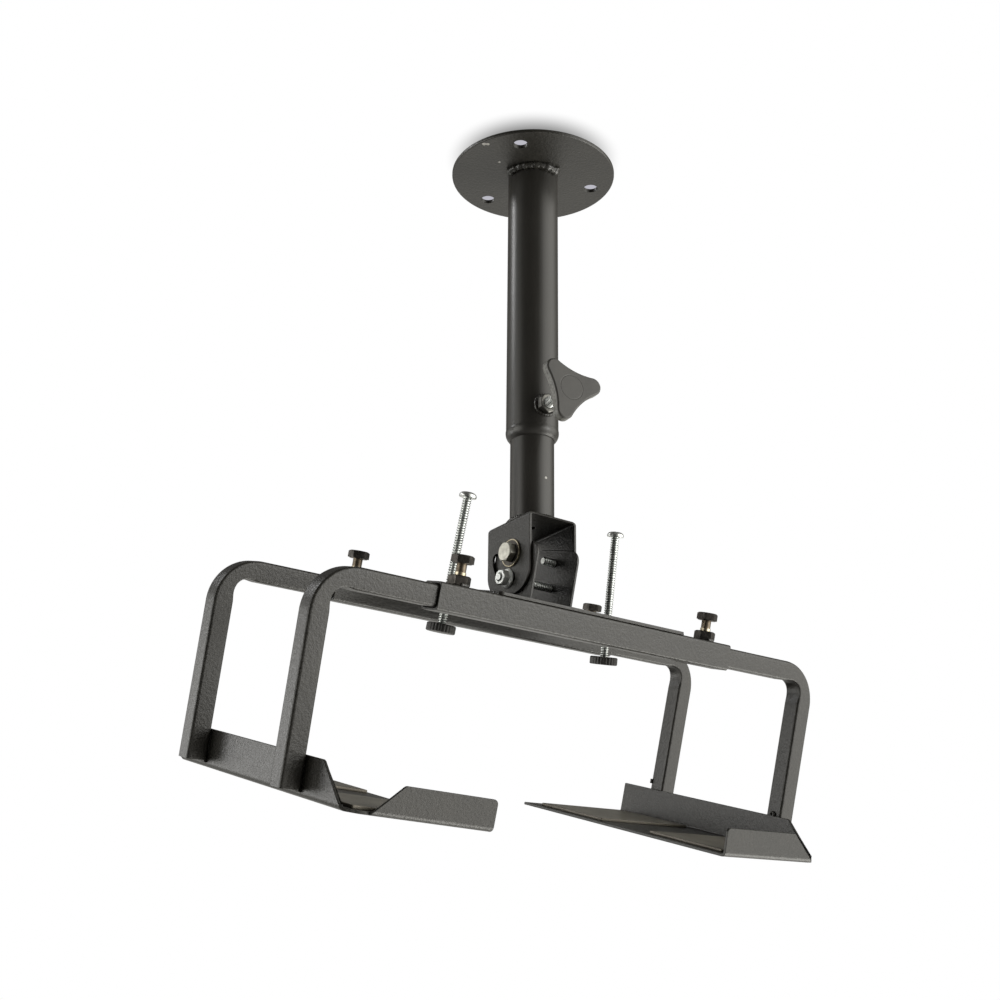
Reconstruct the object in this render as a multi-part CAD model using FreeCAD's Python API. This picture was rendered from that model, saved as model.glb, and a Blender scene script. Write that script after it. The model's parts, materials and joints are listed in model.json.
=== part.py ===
import FreeCAD, Part

import math
import os

# Projector ceiling mount, in millimetres. +Z is up, X runs along the two rails and Y away from the
# clamp knob. The origin is the centre of the ceiling plate's top face, which lies against the ceiling.

# Ceiling plate
plate_diameter = 125.0
plate_thickness = 3.0
plate_edge_chamfer = 0.5
plate_hole_diameter = 10.5
plate_hole_circle = 95.0
plate_hole_count = 3
plate_first_hole_angle = -140.0

# Telescopic mast
outer_tube_diameter = 38.1
outer_tube_wall = 1.5
outer_tube_length = 220.0
swage_height = 8.5
swage_land = 3.0
swage_lip_wall = 0.5
swage_fullness = 0.35
swage_inner_fullness = 0.125
inner_tube_diameter = 31.8
inner_tube_wall = 1.5
inner_tube_length = 215.0
mast_reach = 64.8
running_clearance = 0.05
bush_length = 20.0
bush_lip_thickness = 2.0
bush_lip_width = 3.0
weld_leg = 5.0
weld_fullness = 0.58

# Clamp screw on the outer tube
clamp_height = 22.0
clamp_angle = -99.0
knob_lobe_count = 3
knob_tip_radius = 25.0
knob_lobe_radius = 6.5
knob_waist_radius = 13.5
knob_rim_depth = 7.0
knob_wall = 2.5
knob_hub_diameter = 15.0
knob_hub_depth = 17.0
knob_face_reach = 55.5
knob_first_lobe_angle = 15.0
knob_edge_radius = 1.5
stud_insert_depth = 11.0
stud_hole_slack = 0.5
clamp_nut_sink = 1.0

# Metric fasteners, by thread diameter
m8_diameter = 8.0
m8_across_flats = 13.0
m8_head_height = 5.3
m8_nut_height = 6.5
m6_diameter = 6.0
m6_across_flats = 10.0
m6_head_height = 4.0
m6_nut_height = 5.0
bolt_end_chamfer = 0.9
m6_pan_diameter = 12.0
m6_pan_height = 4.0
m6_pan_rim_height = 1.2
m6_pan_shoulder_diameter = 9.0
m6_pan_shoulder_height = 3.2
m6_pan_flat_diameter = 3.6
m6_recess_span = 6.6
m6_recess_width = 2.0
m6_recess_depth = 1.8
hex_face_inset = 0.3
hex_chamfer_angle = 30.0
thread_core_clearance = 0.05

# Upper bracket, a folded sheet welded under the inner tube
bracket_sheet = 2.0
bracket_bend = 1.5
upper_bracket_width = 42.0
upper_bracket_depth = 47.5
upper_bracket_height = 54.0
upper_corner_radius = 18.0
upper_top_radius = 3.0
web_hole_diameter = 5.0
pivot_drop = 24.6
pivot_setback = -4.0
lock_radius = 18.0
lock_slot_width = 7.4
lock_slot_travel = 90.0
ear_gap = 0.3

# Lower bracket, a folded sheet welded on the cross plate
lower_bracket_depth = 47.3
lower_bracket_offset = 2.15
lower_corner_radius = 9.0
ear_top_above_pivot = 9.5
pivot_height = 36.0
bolt_line_offset = 4.3
pivot_shoulder_diameter = 8.0
pivot_bolt_length = 16.0
washer_diameter = 20.0
washer_thickness = 1.6
flange_nut_diameter = 14.2
flange_nut_flange = 1.6
flange_nut_height = 7.0
lock_bolt_end = 1.0

# Rails and cross plate
rail_length = 250.0
rail_spacing = 127.0
rail_size = 18.0
rail_wall = 1.5
rail_corner_radius = 2.0
cross_plate_length = 160.0
cross_plate_thickness = 2.0
cross_plate_corner = 3.0
clamp_bolt_inset = 18.5
clamp_bolt_length = 16.0
clamp_bolt_tip_gap = 0.1
clamp_hole_slack = 0.5

# Press screws
press_screw_station = 70.5
left_press_lean = 2.0
right_press_lean = 4.8
press_screw_length = 90.0
press_screw_head_height = 65.0
press_foot_diameter = 20.0
press_foot_thickness = 7.5
press_foot_rib_count = 24
press_foot_rib_depth = 0.5
press_foot_chamfer = 0.6
press_foot_socket = 5.0
press_hole_slack = 0.5

# Bent arms
arm_size = 14.0
arm_wall = 1.2
arm_corner_radius = 2.0
arm_bend_outer_radius = 30.0
arm_straight = 130.0
arm_crush = 3.4
arm_crush_groove = 2.4
arm_section_sag = 0.04
arm_bend_sections = 13
leg_toe_in = 1.35
leg_drop = 134.0
left_reach = 210.0
right_reach = 217.0

# Trays and their rubber pads
tray_sheet = 2.0
tray_bend = 1.5
tray_flange_height = 24.6
tray_shelf_drop = 138.4
tray_shelf_width = 101.0
tray_droop = 1.34
tray_far_end = 98.0
tray_near_end = 121.3
tray_lip_height = 19.0
flange_top_near = 88.0
flange_bottom_near = 112.0
right_flange_setback = 7.0
flange_corner_radius = 4.0
lip_outer_bottom = 17.0
lip_outer_top = 36.0
lip_corner_radius = 3.0
pad_thickness = 2.0
pad_corner_radius = 1.0
pad_inset_outer = 9.0
pad_inset_inner = 6.0
far_pad_span = (12.0, 84.0)
near_pad_span = (-112.0, -40.0)

# Rest pose
tilt_angle = 15.0

# How far a cutting body starts outside what it cuts, and how close points count as one
cut_past = 1.0
close_enough = 1e-6

X, Y, Z = FreeCAD.Vector(1, 0, 0), FreeCAD.Vector(0, 1, 0), FreeCAD.Vector(0, 0, 1)
ORIGIN = FreeCAD.Vector(0, 0, 0)

# Sizes that follow from the ones above
outer_tube_bore = outer_tube_diameter / 2 - outer_tube_wall
inner_tube_radius = inner_tube_diameter / 2
guide_radius = inner_tube_radius + running_clearance
mast_bottom = -(plate_thickness + outer_tube_length)
web_top = mast_bottom - mast_reach
clamp_level = mast_bottom + clamp_height
pivot_level = web_top - pivot_drop
lower_bracket_width = upper_bracket_width - 2 * (bracket_sheet + ear_gap)
cross_plate_depth = rail_spacing + rail_size
rail_bore = rail_size - 2 * rail_wall
arm_top = -(rail_size - arm_size) / 2
clamp_bolt_station = rail_length / 2 - clamp_bolt_inset
clamp_bolt_head = arm_top + clamp_bolt_tip_gap + clamp_bolt_length


def vec(x, y, z):
    return FreeCAD.Vector(x, y, z)


def box(x0, x1, y0, y1, z0, z1):
    return Part.makeBox(x1 - x0, y1 - y0, z1 - z0, vec(x0, y0, z0))


def cylinder(diameter, start, end):
    axis = end - start
    return Part.makeCylinder(diameter / 2, axis.Length, start, axis)


def revolve(points):
    """Turn a closed outline of (radius, height) points about the vertical axis."""
    wire = Part.makePolygon([vec(r, 0, z) for r, z in points] + [vec(points[0][0], 0, points[0][1])])
    return Part.Face(wire).revolve(ORIGIN, Z, 360)


def rounded_edges(points, radii):
    """Edges of a closed outline, with each corner rounded by its radius."""
    edges, ends = [], []
    count = len(points)
    for i, corner in enumerate(points):
        before, after = points[i - 1] - corner, points[(i + 1) % count] - corner
        if radii[i] == 0:
            ends.append((corner, corner))
            continue
        half = before.getAngle(after) / 2
        reach = radii[i] / math.tan(half)
        before.normalize()
        after.normalize()
        middle = before + after
        middle.normalize()
        start, end = corner + before * reach, corner + after * reach
        top = corner + middle * (radii[i] / math.sin(half) - radii[i])
        edges.append(Part.Arc(start, top, end).toShape())
        ends.append((start, end))
    for i in range(count):
        start, end = ends[i][1], ends[(i + 1) % count][0]
        if start.distanceToPoint(end) > close_enough:
            edges.append(Part.LineSegment(start, end).toShape())
    return Part.Wire(Part.__sortEdges__(edges))


def prism(points, radii, sweep):
    """Extrude a rounded outline along a vector."""
    return Part.Face(rounded_edges(points, radii)).extrude(sweep)


def sheet_outline(path, thickness, bend):
    """Outline of a folded sheet in its own plane, from the (a, b) points of its right-hand face."""
    offset = []
    for i, point in enumerate(path):
        runs = [path[j + 1] - path[j] for j in (i - 1, i) if 0 <= j < len(path) - 1]
        normals = [vec(-run.y, run.x, 0).normalize() for run in runs]
        mitre = normals[0] + normals[-1]
        offset.append(point + mitre * (2 * thickness / mitre.Length ** 2))
    radii = [0.0] * len(path)
    inner = [0.0] * len(path)
    for i in range(1, len(path) - 1):
        turn = (path[i] - path[i - 1]).cross(path[i + 1] - path[i]).z
        radii[i] = bend if turn < 0 else bend + thickness
        inner[i] = bend + thickness if turn < 0 else bend
    return path + offset[::-1], radii + inner[::-1]


def hexagon(across_flats, height, start, direction, chamfered=True):
    """Hexagonal prism whose far end has the usual turned chamfer."""
    corner = across_flats / math.sqrt(3)
    points = [vec(corner * math.cos(math.radians(60 * k)), corner * math.sin(math.radians(60 * k)), 0)
              for k in range(6)]
    body = Part.Face(Part.makePolygon(points + points[:1])).extrude(vec(0, 0, height))
    if chamfered:
        face = across_flats / 2 - hex_face_inset
        outer = corner + cut_past
        fall = (outer - face) * math.tan(math.radians(hex_chamfer_angle))
        body = body.common(revolve([(0, 0), (outer, 0), (outer, height - fall), (face, height), (0, height)]))
    body.Placement = FreeCAD.Placement(start, FreeCAD.Rotation(Z, direction))
    return body


def clamp_axis():
    """Unit vector from the mast's axis out along the clamp screw."""
    angle = math.radians(clamp_angle)
    return vec(math.cos(angle), math.sin(angle), 0)


def clamp_point(distance):
    return vec(0, 0, clamp_level) + clamp_axis() * distance


def ceiling_plate():
    plate = Part.makeCylinder(plate_diameter / 2, plate_thickness, vec(0, 0, -plate_thickness))
    plate = plate.makeChamfer(plate_edge_chamfer, [e for e in plate.Edges if e.Length > plate_diameter])
    for k in range(plate_hole_count):
        angle = math.radians(plate_first_hole_angle + 360 / plate_hole_count * k)
        centre = vec(math.cos(angle), math.sin(angle), 0) * (plate_hole_circle / 2)
        start, end = centre - Z * (plate_thickness + cut_past), centre + Z * cut_past
        plate = plate.cut(cylinder(plate_hole_diameter, start, end))
    return plate


def outer_tube():
    """Round tube whose lower end is swaged in to guide the inner tube."""
    outside = outer_tube_diameter / 2
    top = -plate_thickness
    shoulder = mast_bottom + swage_height
    land_top = mast_bottom + swage_land
    lip = guide_radius + swage_lip_wall
    bulge = (outside + lip) / 2 + swage_fullness * (outside - lip)
    hollow = (outer_tube_bore + guide_radius) / 2 + swage_inner_fullness * (outer_tube_bore - guide_radius)
    outline = [
        Part.LineSegment(vec(outer_tube_bore, 0, top), vec(outside, 0, top)),
        Part.LineSegment(vec(outside, 0, top), vec(outside, 0, shoulder)),
        Part.Arc(vec(outside, 0, shoulder), vec(bulge, 0, mast_bottom + swage_fullness * swage_height),
                 vec(lip, 0, mast_bottom)),
        Part.LineSegment(vec(lip, 0, mast_bottom), vec(guide_radius, 0, mast_bottom)),
        Part.LineSegment(vec(guide_radius, 0, mast_bottom), vec(guide_radius, 0, land_top)),
        Part.Arc(vec(guide_radius, 0, land_top), vec(hollow, 0, (land_top + shoulder) / 2),
                 vec(outer_tube_bore, 0, shoulder)),
        Part.LineSegment(vec(outer_tube_bore, 0, shoulder), vec(outer_tube_bore, 0, top)),
    ]
    tube = Part.Face(Part.Wire([line.toShape() for line in outline])).revolve(ORIGIN, Z, 360)
    hole = cylinder(m8_diameter + 2 * stud_hole_slack, clamp_point(0), clamp_point(outer_tube_diameter))
    return tube.cut(hole)


def weld_ring(radius, level, direction):
    """Fillet weld round a tube, on the side of the sheet that direction points to."""
    height = direction * weld_leg
    middle = vec(radius + weld_fullness * weld_leg, 0, level + weld_fullness * height)
    outline = [
        Part.LineSegment(vec(radius, 0, level), vec(radius + weld_leg, 0, level)),
        Part.Arc(vec(radius + weld_leg, 0, level), middle, vec(radius, 0, level + height)),
        Part.LineSegment(vec(radius, 0, level + height), vec(radius, 0, level)),
    ]
    return Part.Face(Part.Wire([line.toShape() for line in outline])).revolve(ORIGIN, Z, 360)


def clamp_nut():
    """Nut whose inner face is saddled on the outer tube."""
    outside = outer_tube_diameter / 2
    nut = hexagon(m8_across_flats, m8_nut_height, clamp_point(outside - clamp_nut_sink), clamp_axis())
    nut = nut.cut(Part.makeCylinder(outside, outer_tube_length, vec(0, 0, mast_bottom)))
    bore = cylinder(m8_diameter + 2 * thread_core_clearance, clamp_point(0),
                    clamp_point(outer_tube_diameter + m8_nut_height))
    return nut.cut(bore)


def knob_outline(tip, lobe, waist):
    """Closed three-lobed outline of tangent arcs, centred on the screw."""
    step = 360 / knob_lobe_count
    edges = []
    for k in range(knob_lobe_count):
        middle = math.radians(knob_first_lobe_angle + step * k)
        half_step = math.radians(step / 2)
        centre = tip - lobe
        reach = (centre ** 2 + waist ** 2 - 2 * centre * waist * math.cos(half_step) - lobe ** 2)
        hollow = reach / (2 * (lobe - waist + centre * math.cos(half_step)))
        hollow_centre = waist + hollow
        across = vec(hollow_centre * math.cos(half_step) - centre, hollow_centre * math.sin(half_step), 0)
        across.normalize()
        joint = vec(centre, 0, 0) + across * lobe
        mirrored = vec(joint.x, -joint.y, 0)
        turn = FreeCAD.Rotation(Z, math.degrees(middle))
        next_turn = FreeCAD.Rotation(Z, math.degrees(middle) + step)
        saddle = turn.multVec(vec(waist * math.cos(half_step), waist * math.sin(half_step), 0))
        start, top, end = [turn.multVec(point) for point in (mirrored, vec(tip, 0, 0), joint)]
        edges.append(Part.Arc(start, top, end).toShape())
        edges.append(Part.Arc(end, saddle, next_turn.multVec(mirrored)).toShape())
    return Part.Wire(edges)


def clamp_knob():
    """Hollow three-lobed knob with a hub for the stud, its face turned outwards."""
    hub_end = knob_rim_depth - knob_hub_depth
    face_inside = knob_rim_depth - knob_wall
    face = Part.Face(knob_outline(knob_tip_radius, knob_lobe_radius, knob_waist_radius))
    shell = face.extrude(vec(0, 0, knob_rim_depth))
    rim = [e for e in shell.Edges if abs(e.BoundBox.ZMin - knob_rim_depth) < close_enough]
    shell = shell.makeFillet(knob_edge_radius, rim)
    pocket = Part.Face(knob_outline(knob_tip_radius - knob_wall, knob_lobe_radius - knob_wall,
                                    knob_waist_radius - knob_wall))
    shell = shell.cut(pocket.extrude(vec(0, 0, face_inside)))
    shell = shell.fuse(cylinder(knob_hub_diameter, vec(0, 0, hub_end), vec(0, 0, face_inside)))
    for k in range(knob_lobe_count):
        rib = box(m8_diameter / 2, knob_tip_radius - knob_wall, -knob_wall / 2, knob_wall / 2, 0, face_inside)
        rib.rotate(ORIGIN, Z, knob_first_lobe_angle + 360 / knob_lobe_count * k)
        shell = shell.fuse(rib)
    stud_end = hub_end + stud_insert_depth
    shell = shell.cut(cylinder(m8_diameter, vec(0, 0, hub_end - cut_past), vec(0, 0, stud_end)))
    shell = shell.removeSplitter()
    across = vec(-math.sin(math.radians(clamp_angle)), math.cos(math.radians(clamp_angle)), 0)
    turn = FreeCAD.Rotation(across, Z, clamp_axis(), "ZXY")
    shell.Placement = FreeCAD.Placement(clamp_point(knob_face_reach - knob_rim_depth), turn)
    return shell


def clamp_stud():
    hub_end = knob_face_reach - knob_hub_depth
    return cylinder(m8_diameter, clamp_point(inner_tube_radius + running_clearance),
                    clamp_point(hub_end + stud_insert_depth))


def inner_tube():
    outside = Part.makeCylinder(inner_tube_radius, inner_tube_length, vec(0, 0, web_top))
    bore = Part.makeCylinder(inner_tube_radius - inner_tube_wall, inner_tube_length, vec(0, 0, web_top))
    return outside.cut(bore)


def slide_bush():
    """Guide ring at the top of the inner tube, lipped over its end."""
    top = web_top + inner_tube_length
    outside = outer_tube_bore - running_clearance
    inside = inner_tube_radius - bush_lip_width
    return revolve([(guide_radius, top - bush_length), (outside, top - bush_length),
                    (outside, top + bush_lip_thickness), (inside, top + bush_lip_thickness),
                    (inside, top), (guide_radius, top)])


def folded_u(width, depth_from, depth_to, height, up):
    """Sheet folded to a U, its web at z = 0 and its ears towards up."""
    half = width / 2
    path = [vec(-half, -height, 0), vec(-half, 0, 0), vec(half, 0, 0), vec(half, -height, 0)]
    points, radii = sheet_outline(path[::-1], bracket_sheet, bracket_bend)
    face = [vec(p.x, depth_from, p.y * -up) for p in points]
    return prism(face, radii, vec(0, depth_to - depth_from, 0))


def arc_slot(radius, width, travel, x_from, x_to):
    """Curved slot about the X axis, from straight down towards +Y."""
    start, end = 0.0, math.radians(travel)

    def at(r, a):
        return vec(x_from, r * math.sin(a), -r * math.cos(a))

    half = width / 2
    middle = (start + end) / 2
    cap = half / radius
    edges = [
        Part.Arc(at(radius - half, start), at(radius - half, middle), at(radius - half, end)),
        Part.Arc(at(radius - half, end), at(radius, end + cap), at(radius + half, end)),
        Part.Arc(at(radius + half, end), at(radius + half, middle), at(radius + half, start)),
        Part.Arc(at(radius + half, start), at(radius, start - cap), at(radius - half, start)),
    ]
    wire = Part.Wire([edge.toShape() for edge in edges])
    return Part.Face(wire).extrude(vec(x_to - x_from, 0, 0))


def upper_bracket():
    """Downward U under the inner tube, with the pivot holes and the curved lock slots."""
    near, far = -upper_bracket_depth / 2, upper_bracket_depth / 2
    left, right = -upper_bracket_width, upper_bracket_width
    body = folded_u(upper_bracket_width, near, far, upper_bracket_height, -1)
    side = [vec(left, near, -upper_bracket_height), vec(left, far, -upper_bracket_height), vec(left, far, 0),
            vec(left, near, 0)]
    radii = [upper_corner_radius, upper_corner_radius, upper_top_radius, upper_top_radius]
    body = body.common(prism(side, radii, X * (right - left)))
    pivot = vec(0, pivot_setback, -pivot_drop)
    pivot_hole = pivot_shoulder_diameter + 2 * running_clearance
    body = body.cut(cylinder(pivot_hole, pivot + X * left, pivot + X * right))
    slot = arc_slot(lock_radius, lock_slot_width, lock_slot_travel, left, right)
    slot.translate(pivot)
    body = body.cut(slot)
    body = body.cut(cylinder(web_hole_diameter, Z * -upper_bracket_height, Z * cut_past))
    body.translate(vec(0, 0, web_top))
    return body


def lower_bracket():
    """Upward U on the cross plate, whose ears turn inside the upper bracket's."""
    near = lower_bracket_offset - lower_bracket_depth / 2
    far = lower_bracket_offset + lower_bracket_depth / 2
    ear_top = pivot_height + ear_top_above_pivot
    body = folded_u(lower_bracket_width, near, far, ear_top - cross_plate_thickness, 1)
    body.translate(vec(0, 0, cross_plate_thickness))
    left, right = -lower_bracket_width, lower_bracket_width
    side = [vec(left, near, cross_plate_thickness), vec(left, far, cross_plate_thickness),
            vec(left, far, ear_top), vec(left, near, ear_top)]
    body = body.common(prism(side, [0, 0, lower_corner_radius, lower_corner_radius], X * (right - left)))
    for level in (pivot_height, pivot_height - lock_radius):
        line = vec(0, bolt_line_offset, level)
        body = body.cut(cylinder(m6_diameter, line + X * left, line + X * right))
    return body


def bolt_shank(diameter, length, start, direction):
    """Shank from start back along direction, its end chamfered."""
    shank = Part.makeCylinder(diameter / 2, length)
    tip = [e for e in shank.Edges if e.Closed and e.BoundBox.ZMin > length / 2]
    shank = shank.makeChamfer(bolt_end_chamfer, tip)
    shank.Placement = FreeCAD.Placement(start, FreeCAD.Rotation(Z, direction * -1))
    return shank


def hex_bolt(diameter, across_flats, head_height, length, start, direction):
    """Hexagon bolt whose head sits at start and whose shank runs back along direction."""
    head = hexagon(across_flats, head_height, start, direction)
    return head.fuse(bolt_shank(diameter, length, start, direction))


def pivot_bolt(side):
    """Shouldered bolt that the upper ear turns on, its thread screwed into the lower ear."""
    outside = upper_bracket_width / 2
    seat = vec(side * (outside + washer_thickness), bolt_line_offset, pivot_height)
    bolt = hex_bolt(m6_diameter, m8_across_flats, m8_head_height, pivot_bolt_length, seat, X * side)
    shoulder_end = vec(side * lower_bracket_width / 2, bolt_line_offset, pivot_height)
    return bolt.fuse(cylinder(pivot_shoulder_diameter, seat, shoulder_end)).removeSplitter()


def pivot_washer(side):
    inner_face = vec(side * upper_bracket_width / 2, bolt_line_offset, pivot_height)
    outer_face = inner_face + X * side * washer_thickness
    washer = cylinder(washer_diameter, inner_face, outer_face)
    return washer.cut(cylinder(pivot_shoulder_diameter, inner_face, outer_face))


def lock_bolt():
    """Long bolt across both brackets. Its head is on the right and its nut on the left."""
    seat = vec(upper_bracket_width / 2, bolt_line_offset, pivot_height - lock_radius)
    length = upper_bracket_width + flange_nut_height + lock_bolt_end
    return hex_bolt(m6_diameter, m6_across_flats, m6_head_height, length, seat, X)


def lock_nut():
    seat = vec(-upper_bracket_width / 2, bolt_line_offset, pivot_height - lock_radius)
    flange = cylinder(flange_nut_diameter, seat, seat - X * flange_nut_flange)
    nut = flange.fuse(hexagon(m6_across_flats, flange_nut_height, seat, X * -1))
    return nut.cut(cylinder(m6_diameter, seat + X * cut_past, seat - X * (flange_nut_height + cut_past)))


def square_tube(size, wall, corner, length):
    """Square tube along X, centred on its length, with its top face at z = 0."""
    def section(side, radius):
        half = side / 2
        points = [vec(-length / 2, y, z - size / 2) for y, z in ((-half, -half), (half, -half), (half, half),
                                                                 (-half, half))]
        return prism(points, [radius] * 4, vec(length, 0, 0))
    return section(size, corner).cut(section(size - 2 * wall, corner - wall / 2))


def rail(side):
    """Square rail with a bolt hole near each end of its top wall."""
    tube = square_tube(rail_size, rail_wall, rail_corner_radius, rail_length)
    for station in (-clamp_bolt_station, clamp_bolt_station):
        start, end = vec(station, 0, -rail_size / 2), vec(station, 0, cut_past)
        tube = tube.cut(cylinder(m8_diameter + 2 * clamp_hole_slack, start, end))
    tube.translate(vec(0, side * rail_spacing / 2, 0))
    return tube


def press_axis(side):
    """Direction from a press screw's foot up to its head. Both screws lean in towards the mast."""
    lean = math.radians(right_press_lean if side > 0 else left_press_lean)
    return vec(-side * math.sin(lean), 0, math.cos(lean))


def press_point(side, distance):
    """Point on a press screw's axis, measured along it from the rails' top face."""
    return vec(side * press_screw_station, 0, 0) + press_axis(side) * distance


def cross_plate():
    """Sheet across both rails, with a leaning hole for each press screw."""
    half_length, half_depth = cross_plate_length / 2, cross_plate_depth / 2
    corners = [vec(-half_length, -half_depth, 0), vec(half_length, -half_depth, 0),
               vec(half_length, half_depth, 0), vec(-half_length, half_depth, 0)]
    plate = prism(corners, [cross_plate_corner] * 4, vec(0, 0, cross_plate_thickness))
    for side in (-1, 1):
        start, end = press_point(side, -rail_size), press_point(side, rail_size)
        plate = plate.cut(cylinder(m6_diameter + 2 * press_hole_slack, start, end))
    return plate


def rail_nut(side_x, side_y):
    seat = vec(side_x * clamp_bolt_station, side_y * rail_spacing / 2, 0)
    nut = hexagon(m8_across_flats, m8_nut_height, seat, Z)
    start, end = seat - Z * cut_past, seat + Z * (m8_nut_height + cut_past)
    return nut.cut(cylinder(m8_diameter + 2 * thread_core_clearance, start, end))


def clamp_bolt(side_x, side_y):
    seat = vec(side_x * clamp_bolt_station, side_y * rail_spacing / 2, clamp_bolt_head)
    return hex_bolt(m8_diameter, m8_across_flats, m8_head_height, clamp_bolt_length, seat, Z)


def press_nut(side):
    """Nut welded under the cross plate, bored along the leaning screw."""
    bottom = vec(side * press_screw_station, 0, -m6_nut_height)
    nut = hexagon(m6_across_flats, m6_nut_height, bottom, Z, False)
    start, end = press_point(side, -rail_size), press_point(side, rail_size)
    return nut.cut(cylinder(m6_diameter + 2 * thread_core_clearance, start, end))


def press_screw(side):
    """Pan-head screw with a cross recess, its tip held in the foot."""
    axis = press_axis(side)
    seat = press_point(side, press_screw_head_height)
    shank = bolt_shank(m6_diameter, press_screw_length, seat, axis)
    radius, flat = m6_pan_diameter / 2, m6_pan_flat_diameter / 2
    rim = vec(radius, 0, m6_pan_rim_height)
    shoulder = vec(m6_pan_shoulder_diameter / 2, 0, m6_pan_shoulder_height)
    top = vec(0, 0, m6_pan_height)
    edges = [
        Part.LineSegment(ORIGIN, vec(radius, 0, 0)),
        Part.LineSegment(vec(radius, 0, 0), rim),
        Part.Arc(rim, shoulder, vec(flat, 0, m6_pan_height)),
        Part.LineSegment(vec(flat, 0, m6_pan_height), top),
        Part.LineSegment(top, ORIGIN),
    ]
    head = Part.Face(Part.Wire([edge.toShape() for edge in edges])).revolve(ORIGIN, Z, 360)
    long, short = m6_recess_span / 2, m6_recess_width / 2
    for half_x, half_y in ((long, short), (short, long)):
        head = head.cut(box(-half_x, half_x, -half_y, half_y, m6_pan_height - m6_recess_depth,
                            m6_pan_height + cut_past))
    head.Placement = FreeCAD.Placement(seat, FreeCAD.Rotation(Z, axis))
    return shank.fuse(head)


def press_foot(side):
    """Ribbed round foot with a socket for the screw's tip."""
    axis = press_axis(side)
    tip = press_screw_head_height - press_screw_length
    bottom = tip - (press_foot_thickness - press_foot_socket)
    radius, height, chamfer = press_foot_diameter / 2, press_foot_thickness, press_foot_chamfer
    outline = []
    for k in range(2 * press_foot_rib_count):
        angle = math.pi * k / press_foot_rib_count
        outline.append(vec(math.cos(angle), math.sin(angle), 0) * (radius - press_foot_rib_depth * (k % 2)))
    foot = Part.Face(Part.makePolygon(outline + outline[:1])).extrude(vec(0, 0, height))
    foot = foot.common(revolve([(0, 0), (radius - chamfer, 0), (radius + cut_past, chamfer + cut_past),
                                (radius + cut_past, height - chamfer - cut_past), (radius - chamfer, height),
                                (0, height)]))
    socket = Part.makeCylinder(m6_diameter / 2 + running_clearance, press_foot_socket + cut_past,
                               vec(0, 0, height - press_foot_socket))
    foot = foot.cut(socket)
    foot.Placement = FreeCAD.Placement(press_point(side, bottom), FreeCAD.Rotation(Z, axis))
    return foot


def arm_section(size, corner, crush, sag):
    """Outline of the arm's section in its own (across, lateral) plane, the bend's inside at -across."""
    half = size / 2
    inside = -half + crush
    edges = []
    corners = ((half, -half), (half, half), (inside, half), (inside, -half))
    signs = ((1, -1), (1, 1), (-1, 1), (-1, -1))
    starts, ends = [], []
    for (a, b), (sa, sb) in zip(corners, signs):
        centre = vec(a - sa * corner, b - sb * corner, 0)
        first, last = centre + vec(sa * corner, 0, 0), centre + vec(0, sb * corner, 0)
        if sa * sb < 0:
            first, last = last, first
        middle = centre + vec(sa, sb, 0) * (corner / math.sqrt(2))
        edges.append(Part.Arc(first, middle, last).toShape())
        starts.append(first)
        ends.append(last)
    for k in range(4):
        first, last = ends[k], starts[(k + 1) % 4]
        if k == 2:
            middle = (first + last) * 0.5 + vec(sag, 0, 0)
            edges.insert(2 * k + 1, Part.Arc(first, middle, last).toShape())
        else:
            edges.insert(2 * k + 1, Part.LineSegment(first, last).toShape())
    return Part.Wire(edges)


def arm_solid(shrink, corner, run_in, leg_length):
    """The arm's outer form, or its bore when shrunk by the wall. The bend starts at the origin."""
    turn = 90 + leg_toe_in
    centre_radius = arm_bend_outer_radius - arm_size / 2
    size = arm_size - 2 * shrink

    def station(angle, share):
        fade = math.sin(math.pi * share) ** 2
        wire = arm_section(size, corner, arm_crush * fade, arm_section_sag + arm_crush_groove * fade)
        a = math.radians(angle)
        place = vec(-centre_radius * math.sin(a), 0, -centre_radius * (1 - math.cos(a)))
        along = vec(-math.cos(a), 0, -math.sin(a))
        across = vec(-math.sin(a), 0, math.cos(a))
        turned = FreeCAD.Rotation(across, across.cross(along) * -1, along, "ZXY")
        wire.Placement = FreeCAD.Placement(place, turned)
        return wire, along

    sections = [station(turn * k / (arm_bend_sections - 1), k / (arm_bend_sections - 1))
                for k in range(arm_bend_sections)]
    bend = Part.makeLoft([wire for wire, _ in sections], True, True)
    (first, first_along), (last, last_along) = sections[0], sections[-1]
    straight = Part.Face(first).extrude(first_along * -run_in)
    leg = Part.Face(last).extrude(last_along * leg_length)
    return straight.fuse([bend, leg])


def arm(side_x, side_y, reach):
    """Square tube bent down into a leg, the inside of its bend crushed as such tubes are."""
    centre_radius = arm_bend_outer_radius - arm_size / 2
    toe = math.radians(leg_toe_in)
    leg_top = -centre_radius * (1 + math.sin(toe)) + arm_top - arm_size / 2
    leg_length = (leg_drop + leg_top) / math.cos(toe)
    outside = arm_solid(0, arm_corner_radius, arm_straight, leg_length)
    bore = arm_solid(arm_wall, arm_corner_radius - arm_wall / 2, arm_straight, leg_length)
    tube = outside.cut(bore)
    if side_x > 0:
        tube = tube.mirror(ORIGIN, X)
    bend_start = reach - arm_bend_outer_radius
    tube.translate(vec(side_x * bend_start, side_y * rail_spacing / 2, arm_top - arm_size / 2))
    return tube


def flange_plane(reach):
    """X of a tray flange's outer face where it meets the shelf's underside."""
    toe = math.radians(leg_toe_in)
    return reach - arm_size / math.cos(toe) - math.tan(toe) * (tray_shelf_drop + arm_top)


def place_tray(shape, side, reach):
    """Move a shape from the tray's own frame, the shelf's underside at z = 0, to its legs."""
    shape.rotate(ORIGIN, Y, tray_droop)
    if side > 0:
        shape = shape.mirror(ORIGIN, X)
    shape.translate(vec(side * flange_plane(reach), 0, -tray_shelf_drop))
    return shape


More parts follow.
